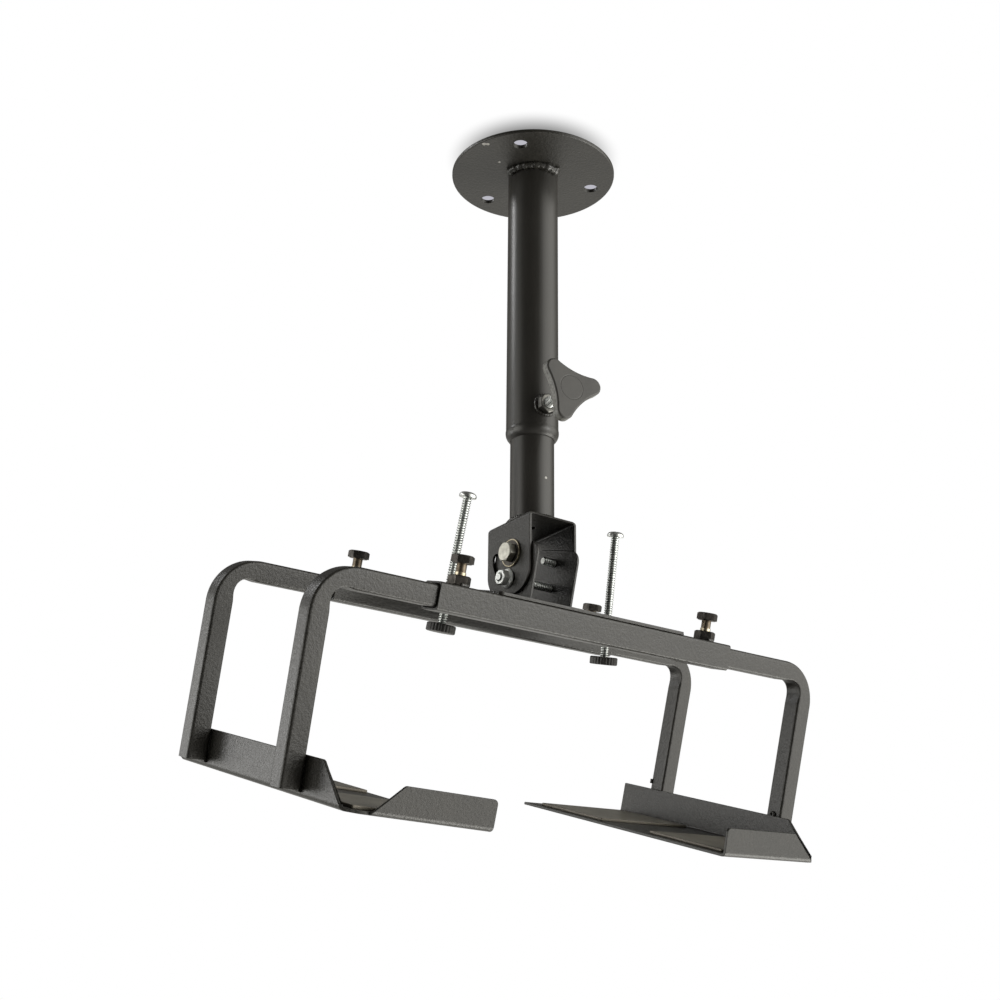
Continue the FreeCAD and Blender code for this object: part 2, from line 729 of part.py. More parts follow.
def tray(side, reach):
    """Folded sheet shelf with an upright flange on the legs and a lip across its near end."""
    lean = math.radians(leg_toe_in + tray_droop)
    near, far = -tray_near_end, tray_far_end
    fold = tray_sheet + tray_bend
    flange_top = tray_flange_height * math.cos(lean)
    setback = right_flange_setback if side > 0 else 0
    top_near, bottom_near = setback - flange_top_near, setback - flange_bottom_near
    rise = vec(-math.sin(lean), math.cos(lean), 0) * (tray_flange_height + tray_sheet)
    points, radii = sheet_outline([rise, ORIGIN, vec(tray_shelf_width, 0, 0)], tray_sheet, tray_bend)
    shelf = prism([vec(p.x, near + fold, p.y) for p in points], radii, vec(0, far - near - fold, 0))
    left, below = -tray_flange_height, -cut_past
    side_view = [vec(left, far + cut_past, below), vec(left, far + cut_past, flange_top),
                 vec(left, top_near, flange_top), vec(left, bottom_near, fold),
                 vec(left, near, fold), vec(left, near, below)]
    shelf = shelf.common(prism(side_view, [0, 0, flange_corner_radius, 0, 0, 0],
                               X * (tray_shelf_width + 2 * tray_flange_height)))
    corner = [vec(-cut_past, bottom_near, below), vec(-cut_past, near - cut_past, below),
              vec(lip_outer_bottom, near - cut_past, below), vec(lip_outer_bottom, near, below)]
    shelf = shelf.cut(prism(corner, [0] * 4, Z * tray_flange_height))
    lip_path = [vec(near, tray_lip_height, 0), vec(near, 0, 0), vec(near + 2 * fold, 0, 0)]
    lip_points, lip_radii = sheet_outline(lip_path, tray_sheet, tray_bend)
    lip = prism([vec(lip_outer_bottom, p.x, p.y) for p in lip_points], lip_radii,
                X * (tray_shelf_width - lip_outer_bottom))
    outside = near - cut_past
    front_view = [vec(lip_outer_bottom, outside, below), vec(tray_shelf_width, outside, below),
                  vec(tray_shelf_width, outside, tray_lip_height),
                  vec(lip_outer_top, outside, tray_lip_height), vec(lip_outer_bottom, outside, fold / 2)]
    lip = lip.common(prism(front_view, [0, 0, lip_corner_radius, lip_corner_radius, 0], Y * tray_near_end))
    return place_tray(shelf.fuse(lip).removeSplitter(), side, reach)


def pad(side, reach, span):
    """Rubber pad stuck on the shelf."""
    x0, x1 = pad_inset_outer, tray_shelf_width - pad_inset_inner
    corners = [vec(x0, span[0], tray_sheet), vec(x1, span[0], tray_sheet), vec(x1, span[1], tray_sheet),
               vec(x0, span[1], tray_sheet)]
    return place_tray(prism(corners, [pad_corner_radius] * 4, vec(0, 0, pad_thickness)), side, reach)


def in_head(shape):
    """Move a shape from the head's level frame to its place under the pivot, tilted."""
    shape.translate(vec(0, -bolt_line_offset, -pivot_height))
    shape.rotate(ORIGIN, X, tilt_angle)
    shape.translate(vec(0, pivot_setback, pivot_level))
    return shape


def mast_nodes():
    return {
        "ceiling_plate": ceiling_plate(),
        "outer_tube": outer_tube(),
        "plate_weld": weld_ring(outer_tube_diameter / 2, -plate_thickness, -1),
        "clamp_nut": clamp_nut(),
        "clamp_stud": clamp_stud(),
        "clamp_knob": clamp_knob(),
        "slide_bush": slide_bush(),
        "inner_tube": inner_tube(),
        "bracket_weld": weld_ring(inner_tube_radius, web_top, 1),
        "upper_bracket": upper_bracket(),
    }


def head_nodes():
    nodes = {
        "lower_bracket": lower_bracket(),
        "lock_bolt": lock_bolt(),
        "lock_nut": lock_nut(),
        "cross_plate": cross_plate(),
    }
    for name, side in (("left", -1), ("right", 1)):
        nodes[f"{name}_pivot_bolt"] = pivot_bolt(side)
        nodes[f"{name}_pivot_washer"] = pivot_washer(side)
        nodes[f"{name}_press_nut"] = press_nut(side)
        nodes[f"{name}_press_screw"] = press_screw(side)
        nodes[f"{name}_press_foot"] = press_foot(side)
    for name, side in (("front", -1), ("back", 1)):
        nodes[f"{name}_rail"] = rail(side)
        nodes[f"{name}_left_nut"] = rail_nut(-1, side)
        nodes[f"{name}_right_nut"] = rail_nut(1, side)
        nodes[f"{name}_left_clamp_bolt"] = clamp_bolt(-1, side)
        nodes[f"{name}_right_clamp_bolt"] = clamp_bolt(1, side)
    for name, side, reach in (("left", -1, left_reach), ("right", 1, right_reach)):
        nodes[f"{name}_front_arm"] = arm(side, -1, reach)
        nodes[f"{name}_back_arm"] = arm(side, 1, reach)
        nodes[f"{name}_tray"] = tray(side, reach)
        nodes[f"{name}_near_pad"] = pad(side, reach, near_pad_span)
        nodes[f"{name}_far_pad"] = pad(side, reach, far_pad_span)
    return {name: in_head(shape) for name, shape in nodes.items()}


os.makedirs("parts", exist_ok=True)
for node, solid in {**mast_nodes(), **head_nodes()}.items():
    solid.exportStep(f"parts/{node}.step")
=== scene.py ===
import json
import math

import bmesh
import bpy
from mathutils import Matrix, Vector


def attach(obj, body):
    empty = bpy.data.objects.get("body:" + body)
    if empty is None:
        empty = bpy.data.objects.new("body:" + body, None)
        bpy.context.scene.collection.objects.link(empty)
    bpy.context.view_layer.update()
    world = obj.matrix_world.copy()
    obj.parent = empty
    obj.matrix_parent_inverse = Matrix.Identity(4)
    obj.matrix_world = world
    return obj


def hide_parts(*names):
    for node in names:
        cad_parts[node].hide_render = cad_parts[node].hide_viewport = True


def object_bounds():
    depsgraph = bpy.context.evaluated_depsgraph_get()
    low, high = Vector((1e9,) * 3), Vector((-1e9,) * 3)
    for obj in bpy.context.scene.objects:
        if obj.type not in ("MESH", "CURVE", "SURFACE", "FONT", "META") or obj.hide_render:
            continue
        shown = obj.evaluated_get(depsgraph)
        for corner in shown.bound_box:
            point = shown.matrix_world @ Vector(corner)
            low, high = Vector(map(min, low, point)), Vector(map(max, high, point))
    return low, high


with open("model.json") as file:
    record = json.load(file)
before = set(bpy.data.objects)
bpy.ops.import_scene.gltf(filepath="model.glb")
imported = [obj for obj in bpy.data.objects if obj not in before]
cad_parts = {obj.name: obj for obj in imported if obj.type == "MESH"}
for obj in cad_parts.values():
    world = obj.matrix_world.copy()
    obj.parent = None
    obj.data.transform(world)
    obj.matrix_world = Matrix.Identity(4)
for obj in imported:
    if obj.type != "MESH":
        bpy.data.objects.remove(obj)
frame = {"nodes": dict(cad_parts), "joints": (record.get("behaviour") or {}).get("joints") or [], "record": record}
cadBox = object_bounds()
mm = 0.001
joints = {joint["name"]: joint for joint in frame["joints"]}
nodeBody = {node: body for body, nodes in frame["record"]["behaviour"]["bodies"].items() for node in nodes}
sides = {"left": -1, "right": 1}
rows = ("front", "back")


def jointLine(name):
    # direction and point of a joint's axis
    return Vector(joints[name]["axis"]), Vector(joints[name]["pos_m"])


class Wire:
    # a node's output, on which Python's own operators add Math nodes
    def __init__(self, graph, socket):
        self.graph = graph
        self.socket = socket

    def pick(self, name):
        return Wire(self.graph, self.socket.node.outputs[name])

    def maths(self, operation, *others):
        return self.graph.maths(operation, self, *others)

    def __add__(self, other):
        return self.maths("ADD", other)

    def __radd__(self, other):
        return self.graph.maths("ADD", other, self)

    def __sub__(self, other):
        return self.maths("SUBTRACT", other)

    def __rsub__(self, other):
        return self.graph.maths("SUBTRACT", other, self)

    def __mul__(self, other):
        return self.maths("MULTIPLY", other)

    def __rmul__(self, other):
        return self.graph.maths("MULTIPLY", other, self)

    def __truediv__(self, other):
        return self.maths("DIVIDE", other)

    def __rtruediv__(self, other):
        return self.graph.maths("DIVIDE", other, self)

    def __pow__(self, other):
        return self.maths("POWER", other)

    def __neg__(self):
        return self.maths("MULTIPLY", -1.0)

    def __abs__(self):
        return self.maths("ABSOLUTE")

    def least(self, other):
        return self.maths("MINIMUM", other)

    def most(self, other):
        return self.maths("MAXIMUM", other)

    def ease(self, low, high, start=0.0, end=1.0):
        # smooth step from start, at low, to end, at high
        return self.graph.node("ShaderNodeMapRange", {"interpolation_type": "SMOOTHSTEP"},
                               {"Value": self, "From Min": low, "From Max": high, "To Min": start, "To Max": end})


class Graph:
    def __init__(self, tree):
        self.tree = tree
        tree.nodes.clear()

    def node(self, kind, settings=None, inputs=(), output=0):
        made = self.tree.nodes.new(kind)
        for name, value in (settings or {}).items():
            setattr(made, name, value)
        keyed = inputs.items() if isinstance(inputs, dict) else enumerate(inputs)
        for key, value in keyed:
            if isinstance(value, Wire):
                self.tree.links.new(value.socket, made.inputs[key])
            else:
                made.inputs[key].default_value = value
        return Wire(self, made.outputs[output]) if made.outputs else None

    def maths(self, operation, *values):
        return self.node("ShaderNodeMath", {"operation": operation}, values)

    def vectors(self, operation, *values, output=0):
        return self.node("ShaderNodeVectorMath", {"operation": operation}, values, output)

    def split(self, vector):
        parts = self.node("ShaderNodeSeparateXYZ", None, [vector])
        return [parts.pick(axis) for axis in "XYZ"]

    def join(self, x, y, z):
        return self.node("ShaderNodeCombineXYZ", None, [x, y, z])

    def noise(self, coords, size, detail=2.0):
        return self.node("ShaderNodeTexNoise", None, {"Vector": coords, "Scale": 1 / (size * mm), "Detail": detail})

    def cells(self, coords, size, smoothness=0.6):
        return self.node("ShaderNodeTexVoronoi", {"feature": "SMOOTH_F1"},
                         {"Vector": coords, "Scale": 1 / (size * mm), "Smoothness": smoothness})

    def blend(self, mask, below, above):
        # colour below where mask is 0, above where it is 1
        return self.node("ShaderNodeMix", {"data_type": "RGBA"}, {0: mask, 6: below, 7: above}, 2)

    def spot(self, coords, centre, radius, raggedness=0.45):
        # ragged patch round a point of the object, given in millimetres
        away = self.vectors("DISTANCE", coords, Vector(centre) * mm, output="Value")
        ragged = away + (self.noise(coords, radius * 0.9, 3.0) - 0.5) * (2 * raggedness * radius * mm)
        return ragged.ease(radius * mm, radius * 0.8 * mm)


def rgb(red, green, blue):
    return (red, green, blue, 1.0)


def makeMaterial(name, paint):
    made = bpy.data.materials.new(name)
    made.use_nodes = True
    graph = Graph(made.node_tree)
    coords = graph.node("ShaderNodeTexCoord", output="Object")
    values = paint(graph, coords)
    if "Height" in values:
        values["Normal"] = graph.node("ShaderNodeBump", None, {"Strength": values.pop("Strength", 1.0),
                                                              "Distance": values.pop("Depth") * mm,
                                                              "Height": values.pop("Height")})
    shader = graph.node("ShaderNodeBsdfPrincipled", None, values)
    graph.node("ShaderNodeOutputMaterial", None, [shader])
    return made


coatLook = {"dark": rgb(0.012, 0.0112, 0.0095), "light": rgb(0.028, 0.0262, 0.022), "grainSize": 0.9,
            "wrinkleSize": 2.2, "grainDepth": 0.3, "roughness": 0.36}


def coatLayers(graph, coords, look):
    # colour, roughness and height of a wrinkled powder coat
    grain = graph.noise(coords, look["grainSize"], 3.0)
    wrinkle = graph.cells(coords, look["wrinkleSize"])
    patch = graph.noise(coords, 26.0, 2.0)
    tone = (grain * 0.55 + wrinkle * 0.35 + patch * 0.5 - 0.35).ease(0.0, 0.8)
    height = grain * 0.8 + wrinkle * 0.5
    roughness = look["roughness"] + (grain - 0.5) * 0.3
    return graph.blend(tone, look["dark"], look["light"]), roughness, height


def paintSheet(graph, coords):
    colour, roughness, height = coatLayers(graph, coords, coatLook)
    return {"Base Color": colour, "Roughness": roughness, "Height": height, "Depth": coatLook["grainDepth"],
            "Strength": 0.8}


plateLook = {"chips": [((-57.7, -14.0, -3.0), 1.9), ((-55.4, -15.6, -3.0), 1.5), ((-34.2, -1.7, -3.0), 1.2)],
             "primer": rgb(0.30, 0.29, 0.27)}


def paintPlate(graph, coords):
    colour, roughness, height = coatLayers(graph, coords, coatLook)
    for centre, radius in plateLook["chips"]:
        chip = graph.spot(coords, centre, radius)
        colour = graph.blend(chip, colour, plateLook["primer"])
        height = height - chip * 1.5
    return {"Base Color": colour, "Roughness": roughness, "Height": height, "Depth": coatLook["grainDepth"],
            "Strength": 0.7}


tubeLook = {"dark": rgb(0.021, 0.020, 0.0175), "light": rgb(0.031, 0.029, 0.026), "roughness": 0.30,
            "chip": (0.0, -16.0, -255.0), "chipRadius": 1.0, "primer": rgb(0.42, 0.41, 0.38)}


def paintTube(graph, coords):
    grain = graph.noise(coords, 0.9, 3.0)
    patch = graph.noise(coords, 30.0, 2.0)
    drawn = graph.noise(graph.node("ShaderNodeMapping", None, {"Vector": coords, "Scale": (1.0, 1.0, 0.08)}), 3.0)
    tone = (grain * 0.4 + patch * 0.5 + drawn * 0.3 - 0.3).ease(0.0, 0.7)
    chip = graph.spot(coords, tubeLook["chip"], tubeLook["chipRadius"])
    colour = graph.blend(chip, graph.blend(tone, tubeLook["dark"], tubeLook["light"]), tubeLook["primer"])
    return {"Base Color": colour, "Roughness": tubeLook["roughness"] + (grain - 0.5) * 0.16 + drawn * 0.06,
            "Height": grain * 0.7 + drawn * 0.3 - chip, "Depth": 0.03}


def paintBead(graph, coords):
    colour, roughness, height = coatLayers(graph, coords, coatLook)
    lumps = graph.noise(coords, 2.4, 2.0)
    return {"Base Color": colour, "Roughness": roughness - 0.08, "Height": height * 0.4 + lumps, "Depth": 0.25}


def zincPaint(dark, light, roughness):
    # plated steel: slight clouds, fine scratches and dark grains in the plating
    def paint(graph, coords):
        cloud = graph.noise(coords, 3.2, 3.0)
        scratch = graph.noise(graph.node("ShaderNodeMapping", None, {"Vector": coords, "Scale": (1.0, 6.0, 1.0)}), 1.3)
        grain = graph.noise(coords, 0.35, 2.0)
        colour = graph.blend((cloud * 0.7 + grain * 0.5 - 0.1).ease(0.2, 0.85), dark, light)
        return {"Base Color": colour, "Metallic": 1.0, "Roughness": roughness + (scratch - 0.5) * 0.25,
                "Height": scratch * 0.6 + grain * 0.4, "Depth": 0.02}
    return paint


def plasticPaint(dark, light):
    def paint(graph, coords):
        grain = graph.noise(coords, 0.28, 2.0)
        patch = graph.noise(coords, 14.0, 2.0)
        colour = graph.blend(patch.ease(0.3, 0.7), dark, light)
        return {"Base Color": colour, "Roughness": 0.42 + (grain - 0.5) * 0.2, "Height": grain, "Depth": 0.03}
    return paint


knobLook = {"dark": rgb(0.032, 0.0305, 0.028), "light": rgb(0.045, 0.043, 0.039), "markRadius": 9.0, "markWidth": 0.5,
            "sideHighlight": rgb(0.17, 0.168, 0.155)}


def paintKnob(graph, coords):
    # moulded plastic with paler sides, a painted highlight, and the faint round mark of the cap over the stud
    values = plasticPaint(knobLook["dark"], knobLook["light"])(graph, coords)
    axis, centre = jointLine("clamp_knob_turn")
    across = graph.vectors("CROSS_PRODUCT", graph.vectors("SUBTRACT", coords, centre), axis)
    radius = graph.vectors("LENGTH", across, output="Value")
    mark = abs(radius - knobLook["markRadius"] * mm).ease(knobLook["markWidth"] * mm, 0.0)
    facing = graph.vectors("DOT_PRODUCT", graph.node("ShaderNodeTexCoord", output="Normal"), axis, output="Value")
    # faces across the knob's axis are painted lighter, streaked by noise: a painted highlight
    side = abs(facing).ease(0.55, 0.25) * graph.noise(coords, 1.6, 3.0).ease(0.30, 0.62, 0.25)
    colour = graph.blend(side, values["Base Color"], knobLook["sideHighlight"])
    values["Base Color"] = graph.blend(mark * 0.5, colour, knobLook["dark"])
    values["Height"] = values["Height"] * 0.2 - mark
    values["Depth"] = 0.12
    return values


def paintRubber(graph, coords):
    grain = graph.noise(coords, 0.6, 3.0)
    patch = graph.noise(coords, 22.0, 2.0)
    colour = graph.blend(patch.ease(0.3, 0.7), rgb(0.112, 0.104, 0.082), rgb(0.155, 0.145, 0.118))
    return {"Base Color": colour, "Roughness": 0.36 + (grain - 0.5) * 0.2, "Height": grain, "Depth": 0.05,
            "Specular Tint": rgb(1.0, 0.88, 0.80)}


def paintNylon(graph, coords):
    grain = graph.noise(coords, 0.8, 2.0)
    colour = graph.blend(grain, rgb(0.60, 0.58, 0.53), rgb(0.70, 0.68, 0.62))
    return {"Base Color": colour, "Roughness": 0.5 + (grain - 0.5) * 0.1, "Height": grain, "Depth": 0.03}


sheetCoat = makeMaterial("wrinkledPowderCoat", paintSheet)
plateCoat = makeMaterial("chippedPlateCoat", paintPlate)
tubeCoat = makeMaterial("smoothTubeCoat", paintTube)
beadCoat = makeMaterial("coatedWeld", paintBead)
whiteZinc = makeMaterial("whiteZinc", zincPaint(rgb(0.62, 0.64, 0.63), rgb(0.90, 0.92, 0.90), 0.32))
satinZinc = makeMaterial("satinZinc", zincPaint(rgb(0.66, 0.68, 0.67), rgb(0.94, 0.96, 0.94), 0.50))
yellowZinc = makeMaterial("yellowZinc", zincPaint(rgb(0.38, 0.37, 0.33), rgb(0.72, 0.71, 0.64), 0.36))
greySteel = makeMaterial("greySteel", zincPaint(rgb(0.09, 0.088, 0.082), rgb(0.34, 0.335, 0.315), 0.36))
# dark brown for the thinner neck under the clamp bolts' heads: painted shade
neckShadeSteel = makeMaterial("paintedNeckShade", zincPaint(rgb(0.07, 0.055, 0.04), rgb(0.24, 0.20, 0.15), 0.42))
brassyZinc = makeMaterial("brassyZinc", zincPaint(rgb(0.42, 0.36, 0.25), rgb(0.74, 0.67, 0.53), 0.30))
# darker zinc for the thread roots: painted shade in the grooves
grooveShadeZinc = makeMaterial("paintedGrooveShade", zincPaint(rgb(0.24, 0.26, 0.25), rgb(0.46, 0.49, 0.48), 0.42))
darkSteel = makeMaterial("blackenedSteel", zincPaint(rgb(0.035, 0.033, 0.030), rgb(0.13, 0.12, 0.11), 0.38))
blackPlastic = makeMaterial("mouldedPlastic", plasticPaint(rgb(0.012, 0.011, 0.010), rgb(0.022, 0.021, 0.019)))
knobPlastic = makeMaterial("knobPlastic", paintKnob)
padRubber = makeMaterial("padRubber", paintRubber)
bushNylon = makeMaterial("bushNylon", paintNylon)
print("materials done")


def linked(name, mesh):
    thing = bpy.data.objects.new(name, mesh)
    bpy.context.scene.collection.objects.link(thing)
    return thing


def settled(work, name):
    # the mesh of an edit that is done
    mesh = bpy.data.meshes.new(name)
    work.to_mesh(mesh)
    work.free()
    return mesh


def evaluated(thing):
    # a plain mesh with the modifiers worked in
    bpy.context.view_layer.update()
    depsgraph = bpy.context.evaluated_depsgraph_get()
    return bpy.data.meshes.new_from_object(thing.evaluated_get(depsgraph), preserve_all_data_layers=True,
                                           depsgraph=depsgraph)


def dressed(name, mesh, nodes, material=None):
    # a finished piece that stands for CAD nodes and rides on their body
    mesh.name = name
    if material:
        mesh.materials.clear()
        mesh.materials.append(material)
    thing = linked(name, mesh)
    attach(thing, nodeBody[nodes[0]])
    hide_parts(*nodes)
    return thing


def finished(thing):
    # the result of a helper object, which is then thrown away
    result = evaluated(thing)
    bpy.data.objects.remove(thing)
    return result


def shaded(mesh, angle=38.0, weighted=True):
    # smooth over small angles, flat faces kept flat
    mesh.shade_smooth()
    mesh.set_sharp_from_angle(angle=math.radians(angle))
    thing = linked("shading", mesh)
    if weighted:
        even = thing.modifiers.new("even", "WEIGHTED_NORMAL")
        even.weight = 90
        even.keep_sharp = True
    return finished(thing)


roundingSizes = {"merge": 0.005, "dissolve": 1.0, "segments": 2, "sharpFrom": 35.0}


def roundedCopy(node, width):
    # the CAD node's form with its sharp edges rounded, as a coated or moulded edge is
    work = bmesh.new()
    work.from_mesh(frame["nodes"][node].data)
    bmesh.ops.remove_doubles(work, verts=work.verts, dist=roundingSizes["merge"] * mm)
    bmesh.ops.dissolve_limit(work, angle_limit=math.radians(roundingSizes["dissolve"]), verts=work.verts,
                             edges=work.edges)
    thing = linked("rounding", settled(work, node))
    edge = thing.modifiers.new("edge", "BEVEL")
    edge.width = width * mm
    edge.segments = roundingSizes["segments"]
    edge.limit_method = "ANGLE"
    edge.angle_limit = math.radians(roundingSizes["sharpFrom"])
    edge.use_clamp_overlap = False
    return shaded(finished(thing))


def placeAlong(start, direction):
    # the matrix that lays a piece's own Z along a direction
    turn = direction.to_track_quat("Z", "Y").to_matrix().to_4x4()
    return Matrix.Translation(start) @ turn


def extent(node, place=Matrix()):
    # lowest and highest corner of a CAD node in a frame of its own
    back = place.inverted()
    points = [back @ vertex.co for vertex in frame["nodes"][node].data.vertices]
    low = Vector([min(point[k] for point in points) for k in range(3)])
    high = Vector([max(point[k] for point in points) for k in range(3)])
    return low, high


def assemble(name, parts, angle=26.0, weighted=False):
    # one mesh from several closed ones, each with its own place and one material or its own ones
    work = bmesh.new()
    materials = []
    for mesh, material, place in parts:
        own = [material] if material else list(mesh.materials)
        materials += [each for each in own if each not in materials]
        before = len(work.faces)
        copy = mesh.copy()
        copy.transform(place)
        work.from_mesh(copy)
        work.faces.ensure_lookup_table()
        for face in work.faces[before:]:
            face.material_index = materials.index(own[min(face.material_index, len(own) - 1)])
    bmesh.ops.recalc_face_normals(work, faces=work.faces)
    result = settled(work, name)
    for material in materials:
        result.materials.append(material)
    return shaded(result, angle, weighted)


def fitted(name, parts, nodes, slot, *shading):
    # a piece put together from parts, in the place of CAD nodes
    dressed(name, assemble(name, parts, *shading), nodes)


def turned(profile, flats=0.0, flatsAbove=0.0, segments=48, closed=False):
    # a lathe form from (radius, height) pairs; flats cuts a hexagon from the rings above a height
    work = bmesh.new()
    rings = []
    for radius, height in profile:
        if radius == 0:
            rings.append([work.verts.new((0, 0, height * mm))])
            continue
        ring = []
        for k in range(segments):
            angle = 2 * math.pi * k / segments
            reach = radius
            if flats and height >= flatsAbove:
                fold = (angle + math.pi / 6) % (math.pi / 3) - math.pi / 6
                reach = min(radius, flats / 2 / math.cos(fold), flats / math.sqrt(3) * 0.988)
            ring.append(work.verts.new((reach * math.cos(angle) * mm, reach * math.sin(angle) * mm, height * mm)))
        rings.append(ring)
    pairs = list(zip(rings, rings[1:]))
    if closed:
        pairs.append((rings[-1], rings[0]))
    for low, high in pairs:
        count = max(len(low), len(high))
        for k in range(count):
            corners = [low[k % len(low)], low[(k + 1) % len(low)], high[(k + 1) % len(high)], high[k % len(high)]]
            work.faces.new(list(dict.fromkeys(corners)))
    bmesh.ops.recalc_face_normals(work, faces=work.faces)
    return settled(work, "turned")


def growTree(name, sizes, materials=("Material",)):
    # an empty Geometry Nodes tree with a geometry, materials and named sizes as inputs
    tree = bpy.data.node_groups.new(name, "GeometryNodeTree")
    graph = Graph(tree)
    tree.interface.new_socket("Geometry", in_out="OUTPUT", socket_type="NodeSocketGeometry")
    tree.interface.new_socket("Geometry", in_out="INPUT", socket_type="NodeSocketGeometry")
    for material in materials:
        tree.interface.new_socket(material, in_out="INPUT", socket_type="NodeSocketMaterial")
    for size in sizes:
        tree.interface.new_socket(size, in_out="INPUT", socket_type="NodeSocketFloat")
    given = graph.node("NodeGroupInput")
    return graph, {socket.name: Wire(graph, socket) for socket in given.socket.node.outputs if socket.name}


def endTree(graph, shape, *coats):
    # each coat is a material and the faces that it goes on
    shape = graph.node("GeometryNodeRealizeInstances", None, [shape])
    for material, faces in coats:
        shape = graph.node("GeometryNodeSetMaterial", None,
                           {"Geometry": shape, "Selection": faces, "Material": material})
    graph.node("NodeGroupOutput", None, [shape])


def grow(graph, material, sizes, start=None):
    # the tree's result as a plain mesh
    thing = linked("growing", start or bpy.data.meshes.new("seed"))
    build = thing.modifiers.new("build", "NODES")
    build.node_group = graph.tree
    values = {**sizes, "Material": material}
    for socket in graph.tree.interface.items_tree:
        if socket.in_out == "INPUT" and socket.name in values:
            build[socket.identifier] = values[socket.name]
    return finished(thing)


def threadTree():
    # a rod with a helical ridge, chamfered at both ends, standing on the origin, with painted shade in its grooves
    graph, given = growTree("threadedRod", ["Diameter", "Pitch", "Length", "Depth", "Around", "Rows Per Turn"],
                            ["Material", "Groove Shade Material"])
    pitch, length, depth = given["Pitch"], given["Length"], given["Depth"]
    rod = graph.node("GeometryNodeMeshCylinder", {"fill_type": "NGON"},
                     {"Vertices": given["Around"], "Side Segments": length / pitch * given["Rows Per Turn"],
                      "Radius": 1.0, "Depth": length})
    x, y, z = graph.split(graph.node("GeometryNodeInputPosition"))
    angle = y.maths("ARCTAN2", x)
    phase = (z / pitch - angle / (2 * math.pi) + 1000.0).maths("FRACT")  # 1000 turns keep it above zero
    crest = ((1 - abs(phase * 2 - 1)) * 1.4).least(1.0)
    root = given["Diameter"] / 2 - depth
    fromEnd = length / 2 - abs(z)
    radius = (root + depth * crest).least(root * 0.96 + fromEnd)
    moved = graph.join(radius * angle.maths("COSINE"), radius * angle.maths("SINE"), z + length / 2)
    shape = graph.node("GeometryNodeSetPosition", None, {"Geometry": rod, "Position": moved})
    # the faces near the root get the darker material: painted shade in the grooves
    inGroove = abs((x * x + y * y).maths("SQRT") - root).maths("LESS_THAN", depth * 0.45)
    endTree(graph, shape, (given["Material"], True), (given["Groove Shade Material"], inGroove))
    return graph


def beadTree():
    # a weld bead along the given path: overlapping ripples of uneven height
    graph, given = growTree("weldBead", ["Radius", "Ripple", "Unevenness", "Seed"])
    path = graph.node("GeometryNodeMeshToCurve", None, [given["Geometry"]])
    path = graph.node("GeometryNodeResampleCurve", {"mode": "LENGTH"}, {"Curve": path, "Length": given["Ripple"] / 5})
    along = graph.node("GeometryNodeSplineParameter", output="Length")
    ripple = abs((along / given["Ripple"] * math.pi).maths("SINE"))
    place = graph.node("GeometryNodeInputPosition")
    lump = graph.node("ShaderNodeTexNoise", {"noise_dimensions": "4D"},
                      {"Vector": place, "W": given["Seed"], "Scale": 1 / (4.5 * mm), "Detail": 1.0})
    thick = given["Radius"] * (0.84 + ripple * 0.16 + (lump - 0.5) * given["Unevenness"])
    section = graph.node("GeometryNodeCurvePrimitiveCircle", None, {"Resolution": 14, "Radius": 1.0})
    solid = graph.node("GeometryNodeCurveToMesh", None, {"Curve": path, "Profile Curve": section, "Scale": thick,
                                                         "Fill Caps": True})
    wander = graph.node("ShaderNodeTexNoise", {"noise_dimensions": "4D"},
                        {"Vector": graph.node("GeometryNodeInputPosition"), "W": given["Seed"] + 7.0,
                         "Scale": 1 / (3.0 * mm), "Detail": 1.0}, "Color")
    centred = graph.vectors("SUBTRACT", wander, (0.5, 0.5, 0.5))
    shift = graph.node("ShaderNodeVectorMath", {"operation": "SCALE"},
                       {0: centred, "Scale": given["Radius"] * given["Unevenness"]})
    shape = graph.node("GeometryNodeSetPosition", None, {"Geometry": solid, "Offset": shift})
    endTree(graph, shape, (given["Material"], True))
    return graph


def footTree():
    # a round foot with upright ribs and rounded rims, standing on the origin
    graph, given = growTree("ribbedFoot", ["Diameter", "Thickness", "Ribs", "Rib Depth", "Rim"])
    disc = graph.node("GeometryNodeMeshCylinder", {"fill_type": "NGON"},
                      {"Vertices": given["Ribs"] * 8, "Side Segments": 14, "Radius": 1.0, "Depth": given["Thickness"]})
    x, y, z = graph.split(graph.node("GeometryNodeInputPosition"))
    angle = y.maths("ARCTAN2", x)
    fromRim = ((given["Thickness"] / 2 - abs(z)) / given["Rim"]).least(1.0)
    fall = 1 - (1 - (1 - fromRim) ** 2).most(0.0).maths("SQRT")
    groove = (0.5 - (angle * given["Ribs"]).maths("COSINE") * 0.5) ** 2
    radius = given["Diameter"] / 2 - given["Rib Depth"] * groove - given["Rim"] * fall
    moved = graph.join(radius * angle.maths("COSINE"), radius * angle.maths("SINE"), z + given["Thickness"] / 2)
    shape = graph.node("GeometryNodeSetPosition", None, {"Geometry": disc, "Position": moved})
    endTree(graph, shape, (given["Material"], True))
    return graph


